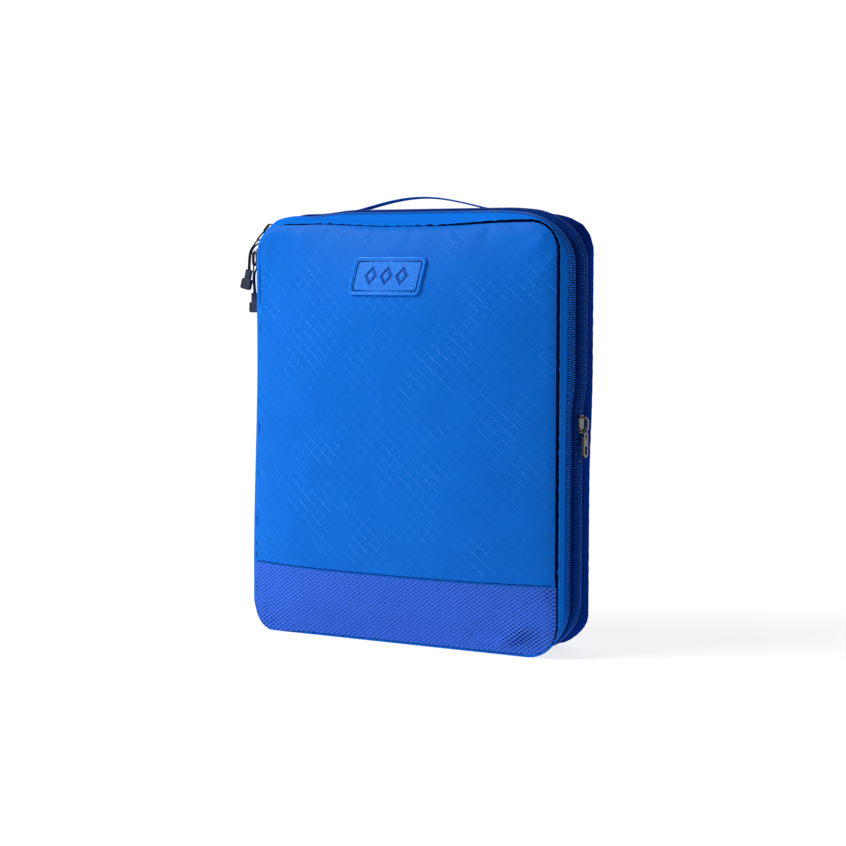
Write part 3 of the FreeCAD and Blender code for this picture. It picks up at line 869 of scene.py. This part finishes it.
hinge = foot_strip("hinge_strip_woven",
                   [-20.7, -20.0, -19.3, -18.6, -17.9, -17.2, -16.5, -15.8, -15.1, -14.4,
                    -13.7, -13.0, -11.2], binding_finish)
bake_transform(hinge)
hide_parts("hinge_strip")

foot = foot_strip("lid_bottom_strip_woven", [-27.9, -27.5, -27.2, -26.5, -25.5, -24.5, -22.5,
                                                 -20.7], tape_finish)
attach(foot, "front_lid")
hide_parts("lid_bottom_strip")


# ---- front panel -----------------------------------------------------------------------
# Cobalt ripstop nylon: fine plain weave with a heavier thread every 8 mm both ways, cut on
# the slant. The filled lid is round across its width and nearly level up its middle.
RIPSTOP_TURN = math.radians(42.6)
RIPSTOP_PITCH = 8.0 * MM
FRONT_RISE = FRONT_SEAM_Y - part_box("front_panel")[0].y
MESH_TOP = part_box("front_panel")[0].z

ripstop_finish = Finish("cobalt_ripstop", (0.001, 0.150, 0.62), Roughness=0.5, Shine=0.07)
rip_x, rip_z = ripstop_finish.cloth()
down_right = rip_x * math.sin(RIPSTOP_TURN) + rip_z * math.cos(RIPSTOP_TURN)
up_right = rip_z * math.sin(RIPSTOP_TURN) - rip_x * math.cos(RIPSTOP_TURN)


def thread_line(across, pitch, wide):
    """1 on a heavier thread, 0 between the threads."""
    from_middle = ((across / pitch).part() - 0.5).size() * pitch
    return 1 - from_middle.step(wide * 0.3, wide)


strong = thread_line(down_right, RIPSTOP_PITCH, 0.24 * MM)
faint = thread_line(up_right, RIPSTOP_PITCH, 0.20 * MM)
fine_a = (down_right * (2 * math.pi / (0.5 * MM))).sine()
fine_b = (up_right * (2 * math.pi / (0.5 * MM))).sine()
fine = fine_a * fine_b * 0.5 + 0.5
grain = ripstop_finish.noise(1300.0, 1.0)
cloud = ripstop_finish.noise(30.0, 4.0, 0.6)
glint = ripstop_finish.noise(22.0, 2.0).step(0.44, 0.66)
ripstop_finish.bump(strong * 0.6 + faint * 0.5 + fine * 0.35, 0.12 * MM, 0.6)
base = ripstop_finish.mixed((fine * 0.2 + grain * 0.35 + cloud * 0.5).clamped(),
                            (0.0004, 0.100, 0.49), (0.0016, 0.165, 0.72))
# The heavier threads are painted lighter as a sheen, stronger on the down-right threads, and carry
# painted glints in patches along them.
glint_patches = ripstop_finish.noise(260.0, 1.0).step(0.36, 0.62)
shine = strong * (glint * 0.75 * glint_patches + 0.14) + faint * (glint * 0.30 * glint_patches + 0.08)
ripstop_finish.feed("Base Color", ripstop_finish.mixed(shine.clamped(), base,
                                                       (0.06, 0.36, 0.98)))
FOLD_LINES = [  # x and z of each end, height and width of soft folds in the lid, in mm
    (-98, 362, -90, 322, 0.7, 5), (-70, 364, -76, 336, -0.6, 4), (-30, 362, -36, 338, 0.5, 4),
    (14, 362, 4, 326, -0.6, 5), (48, 362, 52, 338, 0.5, 4), (84, 364, 78, 326, -0.7, 5),
    (132, 352, 104, 330, 0.9, 5), (140, 340, 112, 322, -0.8, 5), (-138, 338, -112, 318, 0.8, 6),
    (96, 12, 134, 34, 2.2, 6), (108, 12, 140, 24, -1.8, 4), (70, 16, 108, 40, -1.0, 8),
    (-138, 24, -112, 36, 0.8, 6),
]


def front_folds(x, z):
    """Soft folds that run in from the seam."""
    total = np.zeros_like(x)
    for x0, z0, x1, z1, high, wide in FOLD_LINES:
        ax, az = (x1 - x0) * MM, (z1 - z0) * MM
        long = math.hypot(ax, az)
        px, pz = x - x0 * MM, z - z0 * MM
        along = (px * ax + pz * az) / long ** 2
        aside = (px * az - pz * ax) / long
        fade = np.clip(1 - along, 0, 1) ** 1.3 * np.clip(1 + along * 6, 0, 1)
        spread = wide * MM * (0.6 + np.clip(along, 0, 1))
        total += high * MM * fade * np.exp(-(aside / spread) ** 2)
    return total


EDGE_ROLL = 2.4 * MM
SLACK_ROLL = 1.5 * MM


def on_front(x, z):
    """Depth of the filled lid's outer side at a place on it."""
    inset = seam_inset(x, z, FRONT_DEPTH)
    edge = np.clip(inset / (14 * MM), 0, 1)
    swell = 0.75 * MM * hills(x, z, 3, 0.19) + 0.25 * MM * hills(x, z, 4, 0.07)
    gather = np.exp(-inset / (8 * MM)) * np.clip(inset / (2 * MM), 0, 1)
    small = 0.30 * MM * hills(x, z, 8, 0.022)
    slack = np.maximum(ease(-x, 0.100, 0.140), ease(-z, -0.030, -0.006))
    roll = (EDGE_ROLL - SLACK_ROLL * slack) * (1 - np.exp(-inset / (4.0 * MM)))
    hold = ease(inset, 1.5 * MM, 8 * MM)
    out = crown(x, z, FRONT_DEPTH, FRONT_RISE - EDGE_ROLL) + edge * swell + gather * small
    return FRONT_SEAM_Y - out - roll - hold * front_folds(x, z)


front_rows = panel_points(on_front, FRONT_DEPTH, MESH_TOP, 1, 2.2 * MM)
front_panel = sheet_object("front_panel_ripstop", front_rows, 1.0 * MM, -1, ripstop_finish)
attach(front_panel, "front_lid")
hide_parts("front_panel")


# ---- mesh window -----------------------------------------------------------------------
# Knitted polyester mesh below the ripstop: small round holes in a staggered pattern, with a
# raised knot between them. It is as filled as the panel above it.
HOLE_WIDE = 4.85 * MM
HOLE_TALL = 3.5 * MM
HOLE_R = 0.20 * MM
HOLE_OPENS = 0.85 * MM
KNOT_RISE = 0.35 * MM
KEYS_PER_MM = 50             # how finely shared corners of the cells are told apart

mesh_finish = Finish("knitted_mesh", (0.035, 0.120, 0.62), Roughness=0.6)
knit_u, knit_v = mesh_finish.cloth()
cells = ((knit_u * (2 * math.pi / HOLE_WIDE)).cosine()
         * ((knit_v - MESH_TOP) * (2 * math.pi / HOLE_TALL)).cosine())
knots = cells.step(0.25, -0.75)
knit_cloud = mesh_finish.noise(60.0, 3.0)
knit_grain = mesh_finish.noise(2400.0, 2.0)
mesh_finish.bump(knots * 0.7 + knit_grain * 0.3, 0.35 * MM, 0.6)
plain_knit = mesh_finish.mixed(knit_cloud * 0.5 + knit_grain * 0.5, (0.022, 0.095, 0.54),
                               (0.036, 0.125, 0.64))
# The knots are painted lighter than the plain knit, as a painted highlight on the raised knots.
mesh_finish.feed("Base Color", mesh_finish.mixed(knots, plain_knit, (0.062, 0.175, 0.78)))


def openness(x, z):
    """How far the knit is stretched open: most in the lower right corner."""
    corner = math.exp(-((x - 0.118) / 0.022) ** 2 - ((z - 0.018) / 0.013) ** 2)
    upper = math.exp(-((x - 0.139) / 0.010) ** 2 - ((z - 0.056) / 0.012) ** 2)
    left = math.exp(-((x + 0.128) / 0.012) ** 2 - ((z - 0.012) / 0.008) ** 2)
    return min(1.0, corner + 0.7 * upper + 0.6 * left)


def mesh_window():
    """Staggered cells, each a ring of faces round a hole, cut off at the outline."""
    half, foot, _, radii = shape_at(FRONT_DEPTH)
    sides = 8
    index = {}
    vertices, faces = [], []

    def squeeze(x, z):
        """Keep a place inside the outline by sliding it to the edge."""
        z = min(max(z, foot), MESH_TOP)
        left, right = seam_sides(z, FRONT_DEPTH)
        return min(max(x, left), right), z

    def corner(x, z):
        key = (round(x / MM * KEYS_PER_MM), round(z / MM * KEYS_PER_MM))
        if key not in index:
            index[key] = len(vertices)
            vertices.append((x, z, 0.0))
        return index[key]

    a, b = HOLE_WIDE / 2, HOLE_TALL / 2
    for row in range(-1, int((MESH_TOP - foot) / b) + 2):
        for column in range(-int(half / a) - 2, int(half / a) + 3):
            if (row + column) % 2:
                continue
            x, z = column * a, MESH_TOP - row * b
            rim = [squeeze(x + a * sx, z + b * sz) for sx, sz in
                   ((1, 0), (0.5, 0.5), (0, 1), (-0.5, 0.5), (-1, 0), (-0.5, -0.5), (0, -1),
                    (0.5, -0.5))]
            if len({(round(px / MM * KEYS_PER_MM), round(pz / MM * KEYS_PER_MM))
                    for px, pz in rim}) < sides:
                ring = []
                for p in rim:
                    k = corner(*p)
                    if k not in ring:
                        ring.append(k)
                if len(ring) > 2:
                    faces.append(ring)
                continue
            outer = [corner(*p) for p in rim]
            base = len(vertices)
            r = HOLE_R + HOLE_OPENS * openness(x, z)
            for i in range(sides):
                turn = 2 * math.pi * i / sides
                vertices.append((x + r * math.cos(turn), z + r * math.sin(turn), 0.0))
            for i in range(sides):
                j = (i + 1) % sides
                faces.append([outer[i], outer[j], base + j, base + i])
    flat = np.array(vertices)
    x, z = flat[:, 0], flat[:, 1]
    knot = np.zeros(len(flat))
    knot[list(index.values())] = KNOT_RISE
    y = on_front(x, z) + 0.3 * MM - knot
    solid = np.stack([x, y, z], axis=1)
    uv = [(solid[k][0], solid[k][2]) for face in faces for k in face]
    made = mesh_object("front_mesh_window_knit", solid, faces, uv, mesh_finish, 60)
    thicken = made.modifiers.new("thickness", "SOLIDIFY")
    thicken.thickness = 0.5 * MM
    thicken.offset = 1.0
    return made


window = mesh_window()
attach(window, "front_lid")
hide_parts("front_mesh_window")


# ---- stitches --------------------------------------------------------------------------
# Lockstitch in blue thread, 2.5 mm a stitch: each is a short round bar that dives into the
# cloth at both ends.
thread_finish = Finish("sewing_thread", (0.006, 0.15, 0.66), Roughness=0.55)
ply = thread_finish.noise(1500.0, 2.0)
thread_finish.bump(ply, 0.1 * MM, 0.6)
thread_finish.feed("Base Color", thread_finish.mixed(ply, (0.003, 0.10, 0.50),
                                                     (0.012, 0.20, 0.80)))
dark_thread = Finish("dark_sewing_thread", (0.001, 0.020, 0.14), Roughness=0.6)
dark_ply = dark_thread.noise(1500.0, 2.0)
dark_thread.feed("Base Color", dark_thread.mixed(dark_ply, (0.0004, 0.010, 0.08),
                                                 (0.0015, 0.030, 0.20)))
STITCH = 2.5 * MM
THREAD_R = 0.20 * MM


def stitches(name, line, outward, finish=thread_finish, pitch=STITCH, radius=THREAD_R):
    """Row of stitches along a line, with the direction out of the cloth at each point."""
    line = np.asarray(line, float)
    outward = np.asarray(outward, float)
    far = np.r_[0, np.cumsum(np.linalg.norm(np.diff(line, axis=0), axis=1))]
    count = int(far[-1] / pitch)
    vertices, faces, uv = [], [], []
    for i in range(count):
        places = (i + np.array([0.10, 0.16, 0.30, 0.50, 0.70, 0.84, 0.90])) * far[-1] / count
        rise = np.array([-0.9, 0.1, 0.55, 0.7, 0.55, 0.1, -0.9]) * radius * 1.4
        point = np.stack([np.interp(places, far, line[:, k]) for k in range(3)], axis=1)
        out = np.stack([np.interp(places, far, outward[:, k]) for k in range(3)], axis=1)
        out /= np.linalg.norm(out, axis=1)[:, None]
        v, f, t = skinned(tube_rows(point + out * rise[:, None], radius, 6), True)
        base = len(vertices)
        vertices += list(v)
        faces += [[base + k for k in face] for face in f]
        uv += t
    return mesh_object(name, vertices, faces, uv, finish, 80)


def round_line(depth, lift, span=None):
    """Line round the cube on the skin, and the way out of the cloth along it."""
    points, normals, far, _ = outline(depth)
    keep = slice(None)
    if span:
        keep = (far >= span[0]) & (far <= span[1])
    p, n = points[keep], normals[keep]
    y = np.full(len(p), REAR_ZIP_Y + depth)
    line = np.stack([p[:, 0] + n[:, 0] * lift, y, np.maximum(p[:, 1] + n[:, 1] * lift, 0)], 1)
    return line, np.stack([n[:, 0], np.zeros(len(n)), n[:, 1]], 1)


for name, depth, lift, body, span, thread in (
        ("rear_tape_stitches", 7.6 * MM, 0.0, "back_shell", None, dark_thread),
        ("front_tape_stitches", -25.9 * MM, 0.0, "front_lid", OPEN_SPAN, thread_finish),
        ("back_binding_stitches", 33.4 * MM, 0.7 * MM, "back_shell", None, dark_thread)):
    sewn = stitches(name, *round_line(depth, lift, span), thread)
    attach(sewn, body)


# ---- seam binding round the front panel ------------------------------------------------
# The raw edges of panel and tape are held by a thin binding, sewn in all round. It is coloured
# with the painted-shade nylon, so that it shows as a narrow dark line, painted shade at the bottom
# of the seam.
PIPING = [(-29.1, -1.2), (-29.1, -0.8), (-28.8, -0.4), (-28.3, -0.25), (-27.8, -0.4),
          (-27.6, -0.8), (-27.8, -1.2), (-28.5, -1.4)]


def seam_rise(far, depth):
    """The binding stands up most at the right side, where the lid pulls on it, so that more of its
    painted shade shows there; at the left it sinks lower.
    """
    right = ease(far, 0.12, 0.18) * (1 - ease(far, 0.56, 0.66))
    top = ease(far, 0.56, 0.66) * (1 - ease(far, 0.70, 0.76))
    left = ease(far, 0.76, 0.82) * (1 - ease(far, 1.02, 1.10))
    return (0.55 * right + 0.20 * top - 0.5 * left) * MM + (1.0 + 0.3 * right) * pucker(far, depth)


front_piping = band("front_seam_piping", [(d * MM, l * MM) for d, l in PIPING], groove_shade_finish,
                    ripple=seam_rise, sharp=80)
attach(front_piping, "front_lid")
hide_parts("front_seam_binding")


# ---- seam between panel and mesh -------------------------------------------------------
# The edge of the ripstop is turned under and topstitched over the mesh, as a narrow doubled
# strip.
FOLD_WIDE = 5.0 * MM


def across_strip(name, low, high, thick, finish, count=110, lift=0.2 * MM):
    """Strip that lies on the filled lid from side to side between two heights."""
    rows = []
    steps = np.linspace(0, 1, 6)
    for u in np.linspace(-1, 1, count):
        row = []
        for share in steps:
            z = low + (high - low) * share
            left, right = seam_sides(z, FRONT_DEPTH)
            x = u * (right - 0.4 * MM)
            y = float(on_front(np.array([x]), np.array([z]))[0])
            dome = math.sin(math.pi * share) ** 0.5 * thick if 0 < share < 1 else 0.0
            row.append((x, y - lift - dome, z))
        row += [(p[0], p[1] + lift + dome_back, p[2]) for p, dome_back in
                zip(reversed(row), (0.3 * MM,) * len(steps))]
        rows.append(row)
    return mesh_object(name, *skinned(np.array(rows), True), finish)


turned = across_strip("mesh_seam_fold", MESH_TOP - 0.5 * MM, MESH_TOP + FOLD_WIDE, 0.35 * MM,
                      ripstop_finish, lift=0.1 * MM)
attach(turned, "front_lid")
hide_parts("mesh_seam_binding")

SEWN_Z = MESH_TOP + 1.2 * MM
across = np.linspace(*seam_sides(SEWN_Z, FRONT_DEPTH), 90)[1:-1]
level = np.full_like(across, SEWN_Z)
seam_line = np.stack([across, on_front(across, level) - 0.45 * MM, level], axis=1)
seam_sewn = stitches("mesh_seam_stitches", seam_line,
                     np.tile((0.0, -1.0, 0.0), (len(seam_line), 1)), dark_thread,
                     STITCH, 0.32 * MM)
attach(seam_sewn, "front_lid")


# ---- moulded patch ---------------------------------------------------------------------
# Leaning rounded parallelogram in blue rubber, with a bright raised rim and three small
# sunken diamonds. One row of dark stitches inside the rim holds it to the panel.
DIAMONDS = (-15 * MM, 0.0, 15 * MM)
DIAMOND_HALF = (6.4 * MM, 8.4 * MM)
DIAMOND_OPEN = 0.55
patch_finish = Finish("patch_rubber", (0.010, 0.190, 0.74), Roughness=0.5, Shine=0.15)
patch_x, patch_z = patch_finish.cloth()
patch_grain = patch_finish.noise(1100.0, 3.0, 0.7)
patch_finish.bump(patch_grain, 0.25 * MM, 0.8)
stamped = None
for middle in DIAMONDS:
    away = (patch_x - middle).size() / DIAMOND_HALF[0] + patch_z.size() / DIAMOND_HALF[1]
    mark = away.step(1.02, 0.96) * away.step(DIAMOND_OPEN - 0.04, DIAMOND_OPEN + 0.02)
    stamped = mark if stamped is None else stamped + mark
worn = patch_finish.mixed(patch_grain.step(0.35, 0.65), (0.004, 0.120, 0.58),
                          (0.020, 0.250, 0.90))
patch_finish.feed("Base Color", patch_finish.mixed(stamped.clamped(), worn,
                                                   (0.002, 0.070, 0.40)))
rim_finish = Finish("patch_rim", (0.020, 0.26, 0.90), Roughness=0.35, Coat_Weight=0.25)
rim_wear = rim_finish.noise(200.0, 2.0)
rim_finish.feed("Roughness", rim_wear * 0.2 + 0.25)
rim_finish.feed("Base Color", rim_finish.mixed(rim_wear, (0.008, 0.17, 0.74),
                                               (0.020, 0.25, 0.90)))
PATCH_LOW, PATCH_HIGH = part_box("patch")
PATCH_X = (PATCH_LOW.x + PATCH_HIGH.x) / 2
PATCH_Z = (PATCH_LOW.z + PATCH_HIGH.z) / 2
PATCH_TALL = PATCH_HIGH.z - PATCH_LOW.z
PATCH_WIDE = 69.0 * MM
PATCH_CORNER = 4.8 * MM
PATCH_LEAN = 5.5 * MM / PATCH_TALL


def leaning_loop(wide, tall, r, per_corner=8):
    """Closed outline of the patch, pushed over to its slant."""
    loop = []
    for cx, cz, turn in ((1, -1, -90), (1, 1, 0), (-1, 1, 90), (-1, -1, 180)):
        for i in range(per_corner + 1):
            a = math.radians(turn + 90 * i / per_corner)
            loop.append((cx * (wide / 2 - r) + r * math.cos(a),
                         cz * (tall / 2 - r) + r * math.sin(a)))
    flat = np.array(loop)
    flat[:, 0] += flat[:, 1] * PATCH_LEAN
    return flat


def on_patch(flat, lift):
    """Places on the patch, in the cube's frame."""
    x, z = PATCH_X + flat[:, 0], PATCH_Z + flat[:, 1]
    return np.stack([x, on_front(x, z) - lift, z], axis=1)


def resampled(loop, count):
    """The closed loop again, with evenly spaced points."""
    loop = np.vstack([loop, loop[:1]])
    far = np.r_[0, np.cumsum(np.linalg.norm(np.diff(loop, axis=0), axis=1))]
    at = np.linspace(0, far[-1], count, endpoint=False)
    return np.stack([np.interp(at, far, loop[:, k]) for k in range(2)], axis=1)


PATCH_POINTS = 120


def patch_rings(layers):
    """Loops of points from (inset, lift) layers."""
    rings = []
    for inset, lift in layers:
        loop = leaning_loop(PATCH_WIDE - 2 * inset, PATCH_TALL - 2 * inset,
                            max(0.4 * MM, PATCH_CORNER - inset))
        rings.append(on_patch(resampled(loop, PATCH_POINTS), lift))
    return np.array(rings)


rim_rings = patch_rings([(0, -0.2 * MM), (0, 1.3 * MM), (0.4 * MM, 1.9 * MM),
                         (1.2 * MM, 2.1 * MM), (1.9 * MM, 1.8 * MM), (2.2 * MM, 0.4 * MM)])
vertices, faces, uv = skinned(rim_rings, True, caps=False)
rim = mesh_object("patch_rim", vertices, [f[::-1] for f in faces], uv, rim_finish, 50)
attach(rim, "front_lid")


FIELD_INSET = 2.6 * MM
FIELD_LIFT = 1.3 * MM
DIAMOND_DEEP = 0.7 * MM


def patch_field():
    """The field inside the rim, with three sunken diamonds."""
    across, up = 150, 64
    rows = []
    for j in range(up + 1):
        z = (j / up - 0.5) * (PATCH_TALL - FIELD_INSET)
        corner_r = PATCH_CORNER - 1.0 * MM
        into = max(0.0, abs(z) - ((PATCH_TALL - FIELD_INSET) / 2 - corner_r))
        cut = corner_r - math.sqrt(max(0.0, corner_r ** 2 - into ** 2))
        reach = (PATCH_WIDE - FIELD_INSET) / 2 - cut
        x = np.linspace(-reach, reach, across + 1)
        lift = np.full_like(x, FIELD_LIFT)
        for middle in DIAMONDS:
            away = np.abs(x - middle) / DIAMOND_HALF[0] + abs(z) / DIAMOND_HALF[1]
            sunk = np.clip((1.0 - away) / 0.10, 0, 1) - np.clip((DIAMOND_OPEN - away) / 0.1, 0, 1)
            lift -= DIAMOND_DEEP * np.maximum(sunk, 0)
        rows.append(on_patch(np.stack([x + z * PATCH_LEAN, np.full_like(x, z)], 1), 0)
                    - np.stack([np.zeros_like(x), lift, np.zeros_like(x)], 1))
    return np.array(rows)


field = sheet_object("patch_field", patch_field(), 0.9 * MM, -1, patch_finish)
upright = np.empty(2 * len(field.data.loops))
field.data.uv_layers["cloth"].data.foreach_get("uv", upright)
upright = upright.reshape(-1, 2) - (PATCH_X, PATCH_Z)
upright[:, 0] -= upright[:, 1] * PATCH_LEAN
field.data.uv_layers["cloth"].data.foreach_set("uv", upright.ravel())
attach(field, "front_lid")
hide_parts("patch")

SEWN_INSET = 7.4 * MM
stitch_loop = leaning_loop(PATCH_WIDE - SEWN_INSET, PATCH_TALL - SEWN_INSET, 2.0 * MM)
stitch_loop = np.vstack([stitch_loop, stitch_loop[:1]])
stitch_line = on_patch(stitch_loop, 1.35 * MM)
patch_sewn = stitches("patch_stitches", stitch_line,
                      np.tile((0.0, -1.0, 0.0), (len(stitch_line), 1)), dark_thread,
                      2.4 * MM, 0.42 * MM)
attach(patch_sewn, "front_lid")


# ---- sliders, rings and pull tab -------------------------------------------------------
# Zinc castings plated in a dark gunmetal finish, brighter where edges have rubbed.
gunmetal = Finish("gunmetal", (0.10, 0.10, 0.11), Metallic=1.0, Roughness=0.28)
rub = gunmetal.noise(350.0, 4.0, 0.6)
gunmetal.feed("Roughness", rub * 0.25 + 0.16)
gunmetal.feed("Base Color", gunmetal.mixed(rub, (0.035, 0.035, 0.040), (0.14, 0.135, 0.13)))
gunmetal.bump(rub, 0.03 * MM, 0.3)
for node in ("main_slider_upper", "main_slider_lower", "main_ring_upper", "main_ring_lower",
             "compression_slider", "compression_pull", "compression_zip_stop"):
    coat(node, gunmetal)


# ---- carrying handle -------------------------------------------------------------------
# Flat dark blue webbing, sewn down at both ends and bowed up between them, built as two
# halves that meet at the top of the arch. The box stitches at the sewn ends stay with the back
# shell.
webbing_finish = Finish("flat_webbing", (0.003, 0.110, 0.56), Roughness=0.6)
web_u, web_v = webbing_finish.cloth()
weft = (web_u * (2 * math.pi / (1.3 * MM))).sine()
warp = (web_v * (2 * math.pi / (0.9 * MM))).sine()
webbing = (weft * warp * 0.5 + 0.5)
webbing_finish.bump(webbing, 0.25 * MM, 0.7)
webbing_finish.feed("Base Color", webbing_finish.mixed(webbing, (0.003, 0.140, 0.66),
                                                       (0.010, 0.250, 0.95)))
STRAP_LOW, STRAP_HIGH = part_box("handle_strap")
END_LOW, END_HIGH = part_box("handle_end_right")
STRAP_THICK = 1.3 * MM
STRAP_BASE = END_LOW.z
STRAP_RISE = STRAP_HIGH.z - STRAP_THICK - STRAP_BASE
HANDLE_HALF = 80.0 * MM
HANDLE_POWER = 1.4
TACK_INSET = 1.6 * MM


def strap_half(name, sign):
    """Half of the handle, from the middle of its arch to its sewn end."""
    far = np.linspace(0, END_HIGH.x, 60)
    wide = np.linspace(STRAP_LOW.y, STRAP_HIGH.y, 9)
    rows = []
    for x in far:
        rise = STRAP_RISE * math.cos(min(x / HANDLE_HALF, 1) * math.pi / 2) ** HANDLE_POWER
        centre = STRAP_BASE + rise
        edge = np.abs(wide - wide.mean()) / (wide[-1] - wide[0]) * 2
        soft = 0.35 * MM * edge ** 4
        top = [(sign * x, y, centre + STRAP_THICK - s) for y, s in zip(wide, soft)]
        under = [(sign * x, y, centre + s) for y, s in zip(reversed(wide), soft[::-1])]
        rows.append(top + under)
    rows = np.array(rows)
    if sign > 0:
        rows = rows[:, ::-1]
    return mesh_object(name, *skinned(rows, True), webbing_finish)


for side, sign in (("left", -1), ("right", 1)):
    half = strap_half("handle_webbing_" + side, sign)
    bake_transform(half)
    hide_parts("handle_end_" + side, "handle_strap")
    x0, x1 = sign * (HANDLE_HALF + 0.5 * MM), sign * (END_HIGH.x - 1.2 * MM)
    y0, y1 = STRAP_LOW.y + TACK_INSET, STRAP_HIGH.y - TACK_INSET
    lines = [(x0, y0), (x1, y0), (x1, y1), (x0, y1), (x0, y0), (x1, y1)]
    box_line = np.array([(x, y, STRAP_BASE + STRAP_THICK) for x, y in lines])
    tack = stitches("handle_tack_" + side, box_line, np.tile((0.0, 0.0, 1.0), (6, 1)))
    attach(tack, "back_shell")


# ---- floor and light -------------------------------------------------------------------
# Plain pale sweep, which glows a little and lights the cube from below, one large soft light
# high and to the left in front, and a dim sky that fills the rest.
sweep_profile = [(-3.0, 0.0), (1.0, 0.0)]
sweep_profile += [(1.0 + 1.2 * math.sin(a), 1.2 - 1.2 * math.cos(a))
                  for a in np.linspace(0, math.pi / 2, 16)[1:]]
sweep_profile.append((2.2, 4.0))
sweep_rows = np.array([[(x, y, z) for x in (-5.0, 5.0)] for y, z in sweep_profile])
floor_finish = Finish("pale_floor", (0.32, 0.32, 0.32), Roughness=0.9,
                      Emission_Color=(1, 1, 1, 1), Emission_Strength=0.80)
vertices, faces, uv = skinned(sweep_rows, False)
floor = mesh_object("floor", vertices, [f[::-1] for f in faces], uv, floor_finish,
                    settled=False)


def soft_light(name, place, aim_at, wide, power):
    lamp = bpy.data.lights.new(name, "AREA")
    lamp.shape = "RECTANGLE"
    lamp.size = wide
    lamp.size_y = wide * 0.8
    lamp.energy = power
    made = bpy.data.objects.new(name, lamp)
    made.location = place
    made.rotation_euler = (Vector(aim_at) - Vector(place)).to_track_quat("-Z", "Y").to_euler()
    bpy.context.scene.collection.objects.link(made)


KEY_PLACE = (-1.7, -1.2, 2.0)
KEY_WIDE = 1.5
KEY_POWER = 98
SKY_STRENGTH = 0.05
soft_light("key", KEY_PLACE, (0, 0, 0.2), KEY_WIDE, KEY_POWER)
sky = bpy.data.worlds.new("sky")
bpy.context.scene.world = sky
sky.use_nodes = True
sky.node_tree.nodes["Background"].inputs["Color"].default_value = (1, 1, 1, 1)
sky.node_tree.nodes["Background"].inputs["Strength"].default_value = SKY_STRENGTH
bpy.context.scene.view_settings.view_transform = "Standard"
